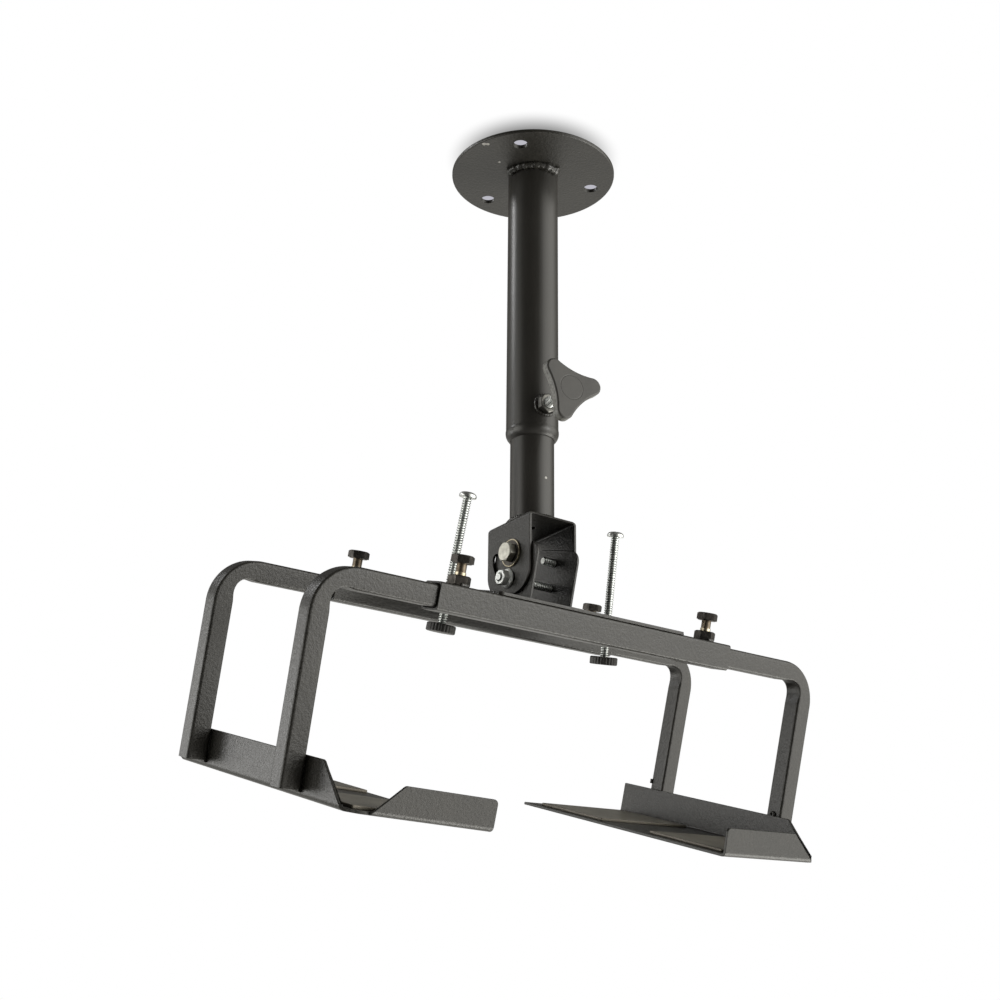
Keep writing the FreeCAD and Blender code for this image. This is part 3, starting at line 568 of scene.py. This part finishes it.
def armTree():
    # skin of a square tube that runs in along X and bends down into a leg, its inner wall pinched in the bend
    graph, given = growTree("bentArm", ["Size", "Corner", "Bend Radius", "Turn", "Straight", "Leg", "Crush", "Groove",
                                        "Step"])
    bend, turn, straight = given["Bend Radius"], given["Turn"], given["Straight"]
    total = straight + bend * turn + given["Leg"]
    line = graph.node("GeometryNodeCurvePrimitiveLine", None, {"End": graph.join(total, 0.0, 0.0)})
    line = graph.node("GeometryNodeResampleCurve", {"mode": "LENGTH"}, {"Curve": line, "Length": given["Step"]})
    run = graph.split(graph.node("GeometryNodeInputPosition"))[0]
    angle = ((run - straight) / bend).most(0.0).least(turn)
    rest = (run - straight - bend * turn).most(0.0)
    sine, cosine = angle.maths("SINE"), angle.maths("COSINE")
    route = graph.join(straight - run.least(straight) - bend * sine - cosine * rest, 0.0,
                       -(bend * (1 - cosine)) - sine * rest)
    path = graph.node("GeometryNodeSetPosition", None, {"Geometry": line, "Position": route})
    section = graph.node("GeometryNodeCurvePrimitiveQuadrilateral", None, {"Width": given["Size"],
                                                                          "Height": given["Size"]})
    section = graph.node("GeometryNodeFilletCurve", {"mode": "POLY"}, {"Curve": section, "Count": 3,
                                                                       "Radius": given["Corner"]})
    section = graph.node("GeometryNodeSubdivideCurve", None, {"Curve": section, "Cuts": 2})
    skin = graph.node("GeometryNodeCurveToMesh", None, {"Curve": path, "Profile Curve": section})
    x, y, z = graph.split(graph.node("GeometryNodeInputPosition"))
    swing = (-x).maths("ARCTAN2", z + bend).most(0.0).least(turn)
    fade = (swing / turn * math.pi).maths("SINE") ** 2
    across = (x * x + (z + bend) * (z + bend)).maths("SQRT") - bend
    depth = (0.5 - across / given["Size"]).most(0.0).least(1.0)
    middle = (1 - (y / given["Size"] * 2) ** 2).most(0.0)
    push = fade * (given["Crush"] * depth + given["Groove"] * depth * depth * middle)
    shift = graph.join(-(push * swing.maths("SINE")), 0.0, push * swing.maths("COSINE"))
    shape = graph.node("GeometryNodeSetPosition", None, {"Geometry": skin, "Offset": shift})
    endTree(graph, shape, (given["Material"], True))
    return graph


threadGraph = threadTree()
beadGraph = beadTree()
footGraph = footTree()
armGraph = armTree()


def rod(size, length, material, groove=grooveShadeZinc):
    # a threaded length of one of the screw sizes, its grooves in a darker material as painted shade
    return grow(threadGraph, material, {"Diameter": size["diameter"] * mm, "Pitch": size["pitch"] * mm,
                                        "Length": length * mm, "Depth": size["ridge"] * mm, "Around": 24.0,
                                        "Rows Per Turn": 8.0, "Groove Shade Material": groove})


def bead(points, radius, seed, cyclic=False, ripple=1.9, unevenness=0.35):
    # a weld bead through points of the object
    path = bpy.data.meshes.new("path")
    count = len(points)
    edges = [(k, (k + 1) % count) for k in range(count if cyclic else count - 1)]
    path.from_pydata([tuple(point) for point in points], edges, [])
    return grow(beadGraph, beadCoat, {"Radius": radius * mm, "Ripple": ripple * mm, "Unevenness": unevenness,
                                      "Seed": float(seed)}, path)


def circlePoints(centre, radius, count=48):
    return [centre + Vector((math.cos(2 * math.pi * k / count), math.sin(2 * math.pi * k / count), 0)) * radius
            for k in range(count)]


# The head's own level frame, found from the four clamp bolts
boltLines = [jointLine(f"{row}_{side}_bolt_turn") for row in rows for side in sides]
headUp = boltLines[0][0].normalized()
headRight = jointLine("head_tilt")[0]
headAway = headUp.cross(headRight)
headOrigin = sum((point for axis, point in boltLines), Vector()) / len(boltLines)
headPlace = Matrix.Translation(headOrigin) @ Matrix((headRight, headAway, headUp)).transposed().to_4x4()


def headPoint(x, y, z):
    return headPlace @ Vector((x, y, z))


# Sheets, tubes and moulded pieces whose form comes from the CAD nodes
sheetPieces = {"lower_bracket": (sheetCoat, 0.4), "cross_plate": (sheetCoat, 0.35), "front_rail": (sheetCoat, 0.3),
               "back_rail": (sheetCoat, 0.3), "left_tray": (sheetCoat, 0.4), "right_tray": (sheetCoat, 0.4),
               "ceiling_plate": (plateCoat, 0.35), "outer_tube": (tubeCoat, 0.3), "inner_tube": (tubeCoat, 0.3)}
for node, (material, width) in sheetPieces.items():
    first, second = node.split("_")
    dressed(first + second.title(), roundedCopy(node, width), [node], material)


# The upper bracket's web rises a little to the front, as it was welded
webSlope = 0.055
webHigh = extent("upper_bracket")[1]
pivotHeight = jointLine("head_tilt")[1].z


def sloped(point):
    share = min(max((point.z - pivotHeight) / (webHigh.z - pivotHeight), 0), 1)
    return Vector((point.x, point.y, point.z + share * webSlope * (webHigh.y - point.y)))


upperBracket = roundedCopy("upper_bracket", 0.4)
for vertex in upperBracket.vertices:
    vertex.co = sloped(vertex.co)
dressed("upperBracket", upperBracket, ["upper_bracket"], sheetCoat)

dressed("clampKnob", roundedCopy("clamp_knob", 0.5), ["clamp_knob"], knobPlastic)
for side in sides:
    for end in ("near", "far"):
        dressed(f"{side}{end.title()}Pad", roundedCopy(f"{side}_{end}_pad", 0.5), [f"{side}_{end}_pad"],
                padRubber)
print("sheets, tubes and knob done")


# Bent arms
armSizes = {"wall": 1.2, "corner": 2.0, "bendOuterRadius": 30.0, "toeIn": 1.35, "crush": 3.4, "groove": 2.4,
            "step": 1.5}


def bentArm(node, side):
    low, high = extent(node, headPlace)
    size = high.y - low.y
    toe = math.radians(armSizes["toeIn"])
    bend = armSizes["bendOuterRadius"] * mm - size / 2
    level = high.z - size / 2
    reach = max(-low.x, high.x)
    inner = min(abs(low.x), abs(high.x))
    straight = reach - armSizes["bendOuterRadius"] * mm - inner
    legTop = level - bend * (1 + math.sin(toe))
    leg = (legTop - low.z - size / 2 * math.sin(toe)) / math.cos(toe)
    skin = grow(armGraph, sheetCoat, {"Size": size, "Corner": armSizes["corner"] * mm, "Bend Radius": bend,
                                      "Turn": math.pi / 2 + toe, "Straight": straight, "Leg": leg,
                                      "Crush": armSizes["crush"] * mm, "Groove": armSizes["groove"] * mm,
                                      "Step": armSizes["step"] * mm})
    skin.transform(Matrix.Scale(-side, 4, Vector((1, 0, 0))))
    work = bmesh.new()
    work.from_mesh(skin)
    bmesh.ops.remove_doubles(work, verts=work.verts, dist=0.01 * mm)
    bmesh.ops.recalc_face_normals(work, faces=work.faces)
    thing = linked("wall", settled(work, "wall"))
    wall = thing.modifiers.new("wall", "SOLIDIFY")
    wall.thickness = armSizes["wall"] * mm
    wall.offset = -1
    solid = finished(thing)
    start = side * (reach - armSizes["bendOuterRadius"] * mm)
    solid.transform(headPlace @ Matrix.Translation((start, (low.y + high.y) / 2, level)))
    return solid


for side, sign in sides.items():
    nodes = [f"{side}_{row}_arm" for row in rows]
    parts = [(bentArm(node, sign), sheetCoat, Matrix()) for node in nodes]
    fitted(f"{side}Arms", parts, nodes, "black_powder_coat", 35.0, True)
print("arms done")


# Hexagon heads and nuts, by the sizes of their threads
m8 = {"diameter": 8.0, "pitch": 1.7, "ridge": 0.8, "flats": 13.0, "head": 5.3, "nut": 6.5, "shank": 7.3,
      "bareLength": 8.0, "neck": 6.6, "neckLength": 5.6}
m6 = {"diameter": 6.0, "pitch": 1.7, "ridge": 0.7, "flats": 10.0, "head": 4.0}
hexShape = {"faceShare": 0.95, "chamferSlope": 0.58}


def faceRadius(flats):
    return flats / 2 * hexShape["faceShare"]


def chamferedTop(flats, height, steps=5):
    # outline of a hexagon's top, from its corners in to its round face
    corner = flats / math.sqrt(3)
    inset = corner - faceRadius(flats)
    return [(corner - inset * (k / steps), height - inset * hexShape["chamferSlope"] * (1 - k / steps))
            for k in range(steps + 1)]


def hexHead(flats, height):
    # chamfered head standing on z = 0, with a washer face below
    face = faceRadius(flats)
    return turned([(0, 0), (face, 0), (face, 0.35), (flats / math.sqrt(3), 0.36), *chamferedTop(flats, height, 6),
                   (0, height)], flats, 0.3)


def hexNut(flats, height, bore):
    # chamfered at both ends
    top = chamferedTop(flats, height)
    low = [(radius, height - level) for radius, level in reversed(top)]
    return turned([(bore / 2, 0.5), (bore / 2 + 0.5, 0), *low, *top, (bore / 2 + 0.5, height),
                   (bore / 2, height - 0.5)], flats, -1.0, closed=True)


def flangeNut(flats, height, flange, bore):
    # the flange slopes up to the hexagon
    corner = flats / math.sqrt(3)
    return turned([(bore / 2, 0.3), (bore / 2 + 0.3, 0), (flange / 2 - 0.2, 0), (flange / 2, 0.25), (flange / 2, 0.9),
                   (flange / 2 - 0.3, 1.15), (corner + 0.5, 1.7), (corner - 0.05, 2.2), *chamferedTop(flats, height),
                   (bore / 2 + 0.4, height), (bore / 2, height - 0.4)], flats, 2.0, closed=True)


def pin(diameter, length):
    # plain round pin standing on z = 0
    return turned([(0, 0), (diameter / 2, 0), (diameter / 2, length), (0, length)])


def washer(diameter, thickness, bore):
    edge = 0.25  # width of its chamfers
    return turned([(bore / 2, edge / 2), (bore / 2 + edge / 2, 0), (diameter / 2 - edge, 0), (diameter / 2, edge),
                   (diameter / 2, thickness - edge), (diameter / 2 - edge, thickness),
                   (bore / 2 + edge / 2, thickness), (bore / 2, thickness - edge / 2)], segments=64, closed=True)


def axisPlace(node, direction, centre):
    # frame with its Z along the piece's axis, and where the CAD node starts and ends on it
    place = placeAlong(centre, direction)
    low, high = extent(node, place)
    return place, low.z, high.z


def raised(place, height):
    # the place moved along its own Z, in metres
    return place @ Matrix.Translation((0, 0, height))


for row in rows:
    for side in sides:
        node = f"{row}_{side}_clamp_bolt"
        place, low, high = axisPlace(node, *jointLine(f"{row}_{side}_bolt_turn"))
        seat = high - m8["head"] * mm
        bare, neck = m8["bareLength"], m8["neckLength"]
        parts = [(hexHead(m8["flats"], m8["head"]), darkSteel, raised(place, seat)),
                 # the thinner neck under the head is coloured darker: painted shade
                 (pin(m8["neck"], neck + 0.4), neckShadeSteel, raised(place, seat - (neck + 0.2) * mm)),
                 (pin(m8["shank"], bare - neck), brassyZinc, raised(place, seat - bare * mm)),
                 (rod(m8, (seat - low) / mm - bare + 0.4, brassyZinc), None, raised(place, low))]
        fitted(f"{row}{side.title()}ClampBolt", parts, [node], "blackened_steel")

nutSizes = {"turns": (7, -5, 11, 3), "tackLength": 5.2, "tackRadius": 1.3}
nutParts = []
nutNodes = [f"{row}_{side}_nut" for row in rows for side in sides]
for number, node in enumerate(nutNodes):
    low, high = extent(node, headPlace)
    centre = (low + high) / 2
    turn = Matrix.Rotation(math.radians(nutSizes["turns"][number]), 4, "Z")
    place = headPlace @ Matrix.Translation((centre.x, centre.y, low.z)) @ turn
    nutParts.append((hexNut(m8["flats"], m8["nut"], m8["diameter"] + 0.1), darkSteel, place))
    for k in (0, 1):
        y = centre.y + (1 - 2 * k) * m8["flats"] / 2 * mm
        tack = [headPoint(centre.x + nutSizes["tackLength"] * mm * (step / 4 - 0.5), y, low.z + 0.6 * mm)
                for step in range(5)]
        tack = bead(tack, nutSizes["tackRadius"], 11 + 2 * number + k, unevenness=0.5)
        nutParts.append((tack, beadCoat, Matrix()))
fitted("railNuts", nutParts, nutNodes, "blackened_steel")
print("clamp bolts and rail nuts done")


# Pivot and lock bolts
pivotSizes = {"shoulder": 8.0, "shoulderLength": 3.9, "head": 5.3, "headFlats": 13.0, "headTurn": 12.0,
              "washer": 20.0, "washerBore": 8.2, "rim": 0.9, "rimLap": 0.2}
lockSizes = {"flange": 14.2, "nutTurn": 20.0}
for side, sign in sides.items():
    node = f"{side}_pivot_bolt"
    low, high = extent(node)
    centre = (low + high) / 2
    outward = Vector((sign, 0, 0))
    place, inner, outer = axisPlace(node, outward, Vector((0, centre.y, centre.z)))
    washerLow, washerHigh = axisPlace(f"{side}_pivot_washer", outward, Vector((0, centre.y, centre.z)))[1:]
    seat = outer - pivotSizes["head"] * mm
    thick = (washerHigh - washerLow) / mm
    length, wide, rim = (pivotSizes[key] for key in ("shoulderLength", "washer", "rim"))
    parts = [(hexHead(pivotSizes["headFlats"], pivotSizes["head"]), yellowZinc,
              raised(place, seat) @ Matrix.Rotation(math.radians(pivotSizes["headTurn"]), 4, "Z")),
             (pin(pivotSizes["shoulder"], length + 0.3), yellowZinc, raised(place, seat - length * mm)),
             (rod(m6, (seat - inner) / mm, whiteZinc), None, raised(place, inner)),
             # the washer is a dark steel disc inside a thin yellow-zinc rim: its dark face is a painted reflection of
             # the dark room
             (washer(wide - 2 * (rim - pivotSizes["rimLap"]), thick, pivotSizes["washerBore"]), darkSteel,
              raised(place, washerLow)),
             (washer(wide, thick - 0.1, wide - 2 * rim), brassyZinc, raised(place, washerLow))]
    fitted(f"{side}PivotBolt", parts, [node, f"{side}_pivot_washer"], "yellow_zinc")

low, high = extent("lock_bolt")
centre = (low + high) / 2
place, inner, outer = axisPlace("lock_bolt", Vector((1, 0, 0)), Vector((0, centre.y, centre.z)))
seat = outer - m6["head"] * mm
parts = [(hexHead(m6["flats"], m6["head"]), whiteZinc, raised(place, seat)),
         (rod(m6, (seat - inner) / mm + 0.5, whiteZinc), None, raised(place, inner))]
fitted("lockBolt", parts, ["lock_bolt"], "white_zinc")
place, inner, outer = axisPlace("lock_nut", Vector((-1, 0, 0)), Vector((0, centre.y, centre.z)))
nut = flangeNut(m6["flats"], (outer - inner) / mm, lockSizes["flange"], m6["diameter"])
turn = Matrix.Rotation(math.radians(lockSizes["nutTurn"]), 4, "Z")
parts = [(nut, satinZinc, raised(place, inner) @ turn)]
fitted("lockNut", parts, ["lock_nut"], "white_zinc")


# Clamp screw on the mast
place, inner, outer = axisPlace("clamp_stud", *jointLine("clamp_knob_turn"))
# the stud's grooves take blackened steel: painted shade in the grooves
parts = [(rod(m8, (outer - inner) / mm, satinZinc, darkSteel), None, raised(place, inner))]
fitted("clampStud", parts, ["clamp_stud"], "white_zinc")
place, inner, outer = axisPlace("clamp_nut", *jointLine("clamp_knob_turn"))
nutHeight = (outer - inner) / mm
parts = [(hexNut(m8["flats"], nutHeight, m8["diameter"] + 0.1), greySteel, raised(place, inner))]
tubeRadius = extent("outer_tube")[1].x
ring = []
for point in circlePoints(Vector(), m8["flats"] / math.sqrt(3) * mm, 40):
    onNut = raised(place, inner) @ point
    onTube = Vector((onNut.x, onNut.y, 0)).normalized() * tubeRadius
    ring.append(Vector((onTube.x, onTube.y, onNut.z)))
parts.append((bead(ring, 1.3, 31, cyclic=True, unevenness=0.5), beadCoat, Matrix()))
fitted("clampNut", parts, ["clamp_nut"], "blackened_steel")
print("pivot, lock and clamp screws done")


# Press screws and their feet
pressSizes = {"pan": 12.0, "panHeight": 4.0, "recess": 6.6, "recessWidth": 2.1, "recessDepth": 1.9, "ribs": 24,
              "ribDepth": 0.35, "rim": 0.7, "footHeight": 5.6}


def panHead(diameter, height):
    # domed head with a cross recess
    steps = 8
    radius = diameter / 2
    dome = [(radius * math.cos(math.radians(80 * k / steps)) ** 0.7,
             height * (0.3 + 0.7 * math.sin(math.radians(80 * k / steps)))) for k in range(steps + 1)]
    head = linked("head", turned([(0, 0), (radius - 0.3, 0), (radius, 0.3), *dome, (0, height)]))
    half, width, depth = pressSizes["recess"] / 2, pressSizes["recessWidth"] / 2, pressSizes["recessDepth"]
    work = bmesh.new()
    outline = [(half, -width), (half, width), (width, width), (width, half), (-width, half), (-width, width),
               (-half, width), (-half, -width), (-width, -width), (-width, -half), (width, -half), (width, -width)]
    floor = [work.verts.new((x * 0.72 * mm, y * 0.72 * mm, (height - depth) * mm)) for x, y in outline]
    mouth = [work.verts.new((x * mm, y * mm, (height + 0.2) * mm)) for x, y in outline]
    work.faces.new(floor[::-1])
    work.faces.new(mouth)
    for k in range(len(outline)):
        other = (k + 1) % len(outline)
        work.faces.new((floor[k], floor[other], mouth[other], mouth[k]))
    bmesh.ops.recalc_face_normals(work, faces=work.faces)
    cutter = linked("recess", settled(work, "recess"))
    cut = head.modifiers.new("cut", "BOOLEAN")
    cut.operation = "DIFFERENCE"
    cut.object = cutter
    cut.solver = "EXACT"
    result = finished(head)
    bpy.data.objects.remove(cutter)
    return result


for side in sides:
    axis, centre = jointLine(f"{side}_press_turn")
    place, low, high = axisPlace(f"{side}_press_screw", axis, centre)
    seat = high - pressSizes["panHeight"] * mm
    parts = [(panHead(pressSizes["pan"], pressSizes["panHeight"]), whiteZinc, raised(place, seat)),
             (rod(m6, (seat - low) / mm + 0.5, whiteZinc), None, raised(place, low))]
    fitted(f"{side}PressScrew", parts, [f"{side}_press_screw"], "white_zinc")
    place, low, high = axisPlace(f"{side}_press_foot", axis, centre)
    foot = grow(footGraph, blackPlastic, {"Diameter": extent(f"{side}_press_foot", place)[1].x * 2,
                                          "Thickness": pressSizes["footHeight"] * mm, "Ribs": float(pressSizes["ribs"]),
                                          "Rib Depth": pressSizes["ribDepth"] * mm, "Rim": pressSizes["rim"] * mm})
    fitted(f"{side}PressFoot", [(foot, blackPlastic, raised(place, low))], [f"{side}_press_foot"], "black_plastic")
print("press screws done")


# Weld beads
weldSizes = {"plateRadius": 3.3, "plateOffset": 1.8, "stitches": [(-128.0, 57.0), (51.0, 40.0)],
             "bracketRing": 1.7, "bracketOffset": 1.0, "earRadius": 2.3, "legRadius": 1.6, "crater": 1.6,
             "craterWall": 0.9, "drop": 1.2, "dropFrom": 4.0, "dropTo": 7.5}


def arcPoints(centre, radius, middle, half, count=24):
    angles = [math.radians(middle + half * (2 * k / (count - 1) - 1)) for k in range(count)]
    return [centre + Vector((math.cos(angle), math.sin(angle), 0)) * radius for angle in angles]


tubeRadius = extent("outer_tube")[1].x
plateBottom = extent("ceiling_plate")[0].z
ringCentre = Vector((0, 0, plateBottom - weldSizes["plateOffset"] * mm * 0.6))
parts = []
for number, (middle, half) in enumerate(weldSizes["stitches"]):
    stitch = bead(arcPoints(ringCentre, tubeRadius + weldSizes["plateOffset"] * mm, middle, half),
                  weldSizes["plateRadius"], 3 + number, ripple=4.2, unevenness=0.8)
    parts.append((stitch, beadCoat, Matrix()))
fitted("plateWeld", parts, ["plate_weld"], "black_powder_coat", 60.0)
innerLow, innerHigh = extent("inner_tube")
ringCentre = Vector((0, 0, innerLow.z + weldSizes["bracketOffset"] * mm))
ring = [sloped(point) for point in circlePoints(ringCentre, innerHigh.x + weldSizes["bracketOffset"] * mm)]
ring = bead(ring, weldSizes["bracketRing"], 5, cyclic=True, unevenness=0.45)
fitted("bracketWeld", [(ring, beadCoat, Matrix())], ["bracket_weld"], "black_powder_coat", 60.0)


def extraWelds(name, body, beads):
    mesh = assemble(name, [(each, beadCoat, Matrix()) for each in beads], 60.0)
    thing = linked(name, mesh)
    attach(thing, body)


def straightBead(start, end, radius, seed, count=8, **more):
    return bead([start.lerp(end, k / (count - 1)) for k in range(count)], radius, seed, **more)


bracketLow, bracketHigh = extent("lower_bracket", headPlace)
crossLow, crossHigh = extent("cross_plate", headPlace)
beads = []
for number, sign in enumerate(sides.values()):
    x = bracketHigh.x * sign - sign * 1.3 * mm
    beads.append(straightBead(headPoint(x, bracketLow.y + 0.5 * mm, crossHigh.z + 1.0 * mm),
                              headPoint(x, bracketHigh.y - 0.5 * mm, crossHigh.z + 1.0 * mm), weldSizes["earRadius"],
                              41 + number, count=16))
for number, (x, y) in enumerate([(x, y) for x in (crossLow.x, crossHigh.x)
                                 for y in (crossLow.y, crossHigh.y)]):
    inward = 16 * mm if y < 0 else -16 * mm
    beads.append(straightBead(headPoint(x, y + inward * 0.15, crossLow.z + 0.3 * mm),
                              headPoint(x, y + inward, crossLow.z + 0.3 * mm), 1.2, 51 + number, count=6,
                              unevenness=0.5))
extraWelds("headWelds", "tilt_head", beads)


def legFace(node, sign, height):
    # where the leg's inner face stands at a height, and where the leg starts and ends in depth
    low, high = extent(node, headPlace)
    toe = math.tan(math.radians(armSizes["toeIn"])) * -height
    return sign * (max(-low.x, high.x) - (high.y - low.y) - toe), low.y, high.y


for side, sign in sides.items():
    beads = []
    for number, row in enumerate(rows):
        node = f"{side}_{row}_arm"
        foot = extent(node, headPlace)[0].z
        x, front, back = legFace(node, sign, foot)
        x += sign * 0.6 * mm
        beads.append(straightBead(headPoint(x, front + 1.5 * mm, foot + 0.2 * mm),
                                  headPoint(x, back - 1.5 * mm, foot + 0.2 * mm), weldSizes["legRadius"],
                                  61 + number, count=6, unevenness=0.5))
        if side == "right":
            # spatter left on the leg just over the tray: a little crater on one, a drop behind the other
            top = extent("right_tray", headPlace)[1].z
            x, front, back = legFace(node, sign, top)
            if row == "front":
                middle, size = (front + back) / 2, weldSizes["crater"] * mm
                crater = [headPoint(x - 0.3 * mm, middle + size * math.cos(k * math.pi / 4),
                                    top + mm + size * math.sin(k * math.pi / 4)) for k in range(8)]
                beads.append(bead(crater, weldSizes["craterWall"], 71, cyclic=True, unevenness=0.4))
            else:
                x, y = x + 0.5 * mm, back - 0.9 * mm
                beads.append(straightBead(headPoint(x, y, top + weldSizes["dropFrom"] * mm),
                                          headPoint(x, y, top + weldSizes["dropTo"] * mm), weldSizes["drop"], 72,
                                          count=4))
    extraWelds(f"{side}LegWelds", f"{side}_cradle", beads)
print("welds done")


# CAD nodes that stay as they are get their finishes
plainNodes = {"slide_bush": bushNylon, "left_press_nut": darkSteel, "right_press_nut": darkSteel}
for node, material in plainNodes.items():
    frame["nodes"][node].data.materials.clear()
    frame["nodes"][node].data.materials.append(material)


# Studio
studio = {"base": 0.14, "below": 0.30, "tint": (1.0, 0.983, 0.925),
          # bright parts of the room: direction, where each fades out and is full, by cosine, and strength
          "lobes": [((0.63, -0.765, 0.14), 0.62, 0.97, 2.45),  # for the front faces
                    ((-0.42, 0.90, 0.08), 0.91, 0.985, 1.1),  # for the left faces
                    ((-0.96, 0.24, 0.0), 0.88, 0.97, 3.4),  # for the tubes' left edges
                    ((0.64, -0.26, -0.69), 0.90, 0.98, 6.5),  # for the lines under the rails
                    ((0.53, 0.66, -0.53), 0.50, 0.95, 0.65)],  # for the faces that look down
          # dark part, so that the legs' front corners stay black
          "shade": ((-0.80, -0.55, 0.15), 0.50, 0.95, 0.7)}


def makeWorld():
    world = bpy.data.worlds.new("studio")
    bpy.context.scene.world = world
    world.use_nodes = True
    graph = Graph(world.node_tree)
    direction = graph.node("ShaderNodeTexCoord", output="Generated")

    def facing(axis):
        return graph.vectors("DOT_PRODUCT", direction, Vector(axis).normalized(), output="Value")

    light = facing((0, 0, -1)).most(0.0) * studio["below"] + studio["base"]
    for axis, low, high, strength in studio["lobes"]:
        light = light + facing(axis).ease(low, high) * strength
    axis, low, high, share = studio["shade"]
    light = light * (1 - facing(axis).ease(low, high) * share)
    room = graph.node("ShaderNodeBackground", None, {"Color": rgb(*studio["tint"]), "Strength": light})
    white = graph.node("ShaderNodeBackground", None, {"Color": rgb(1, 1, 1), "Strength": 1.0})
    seen = graph.node("ShaderNodeLightPath", output="Is Camera Ray")
    graph.node("ShaderNodeOutputWorld", None, [graph.node("ShaderNodeMixShader", None, [seen, room, white])])


def makeLamp(name, place, aim, size, power):
    data = bpy.data.lights.new(name, "AREA")
    data.shape = "DISK"
    data.size = size
    data.energy = power
    thing = linked(name, data)
    thing.location = place
    thing.rotation_euler = (Vector(aim) - Vector(place)).to_track_quat("-Z", "Y").to_euler()


lamps = {"keyLamp": {"place": (-1.1, 1.2, 0.9), "aim": (0, 0, -0.3), "size": 0.5, "power": 6.0},
         "frontLamp": {"place": (0.9, -1.5, -0.2), "aim": (0, 0, -0.35), "size": 0.5, "power": 5.0},
         "lowLeftLamp": {"place": (-0.71, 0.76, -0.32), "aim": (-0.2, -0.05, -0.47), "size": 0.34, "power": 1.1}}
ceilingSizes = {"reach": 110.0, "lift": 0.3, "shadowShift": 18.5, "shadowInner": 38.0, "shadowOuter": 68.0,
                "darkest": 0.26, "inset": 3.0, "insetBlend": 1.0, "holeShade": rgb(0.50, 0.495, 0.55)}


def makeStage(cameraPlace):
    # a patch of ceiling, seen only from below, glowing white with the plate's soft shadow painted round it and painted
    # shade where it shows through the plate's holes
    towards = Vector((cameraPlace.x, cameraPlace.y, 0)).normalized()
    plateRadius = extent("ceiling_plate")[1].x / mm
    plateTop = Vector((0, 0, cadBox[1].z))

    def paintCeiling(graph):
        coords = graph.node("ShaderNodeTexCoord", output="Object")
        away = graph.vectors("DISTANCE", coords, plateTop + towards * ceilingSizes["shadowShift"] * mm, output="Value")
        # painted shadow: darker near a point moved from the plate's centre towards the camera
        tone = away.ease(ceilingSizes["shadowInner"] * mm, ceilingSizes["shadowOuter"] * mm, ceilingSizes["darkest"])
        middle = graph.vectors("DISTANCE", coords, plateTop, output="Value")
        # inside the plate's rim the ceiling takes the hole colour: painted shade
        inside = plateRadius - ceilingSizes["inset"]
        outside = middle.ease(inside * mm, (inside + ceilingSizes["insetBlend"]) * mm)
        grey = graph.join(tone, tone, tone)
        colour = graph.blend(outside, ceilingSizes["holeShade"], grey)
        shown = graph.node("ShaderNodeEmission", None, {"Color": colour, "Strength": 1.0})
        clear = graph.node("ShaderNodeBsdfTransparent")
        above = graph.node("ShaderNodeNewGeometry", output="Backfacing")
        return graph.node("ShaderNodeMixShader", None, [above, shown, clear])

    corners = circlePoints(plateTop + Vector((0, 0, ceilingSizes["lift"] * mm)), ceilingSizes["reach"] * mm)
    mesh = bpy.data.meshes.new("ceilingPatch")
    mesh.from_pydata([tuple(corner) for corner in reversed(corners)], [], [list(range(len(corners)))])
    coat = bpy.data.materials.new("ceilingShadow")
    coat.use_nodes = True
    graph = Graph(coat.node_tree)
    graph.node("ShaderNodeOutputMaterial", None, [paintCeiling(graph)])
    mesh.materials.append(coat)
    thing = linked("ceilingPatch", mesh)
    thing.visible_diffuse = False
    thing.visible_glossy = False
    thing.visible_transmission = False
    thing.visible_shadow = False


view = {"place": (-620.39, -775.21, -622.24), "turn": -37.3513, "pitch": 19.6585, "roll": 0.6197, "lens": 53.187,
        "sensor": 36.0}


def makeCamera():
    turn, pitch, roll = (math.radians(view[key]) for key in ("turn", "pitch", "roll"))
    ahead = Vector((-math.sin(turn) * math.cos(pitch), math.cos(turn) * math.cos(pitch), math.sin(pitch)))
    right = Vector((math.cos(turn), math.sin(turn), 0))
    up = right.cross(ahead)
    across = right * math.cos(roll) + up * math.sin(roll)
    upward = up * math.cos(roll) - right * math.sin(roll)
    data = bpy.data.cameras.new("camera")
    data.lens = view["lens"]
    data.sensor_width = view["sensor"]
    data.clip_start = 0.01
    data.clip_end = 50
    thing = linked("camera", data)
    place = Vector(view["place"]) * mm
    thing.matrix_world = Matrix.Translation(place) @ Matrix((across, upward, -ahead)).transposed().to_4x4()
    bpy.context.scene.camera = thing
    return place


makeWorld()
for name, lamp in lamps.items():
    makeLamp(name, **lamp)
makeStage(makeCamera())
bpy.context.scene.view_settings.view_transform = "Standard"
print("studio and camera done")
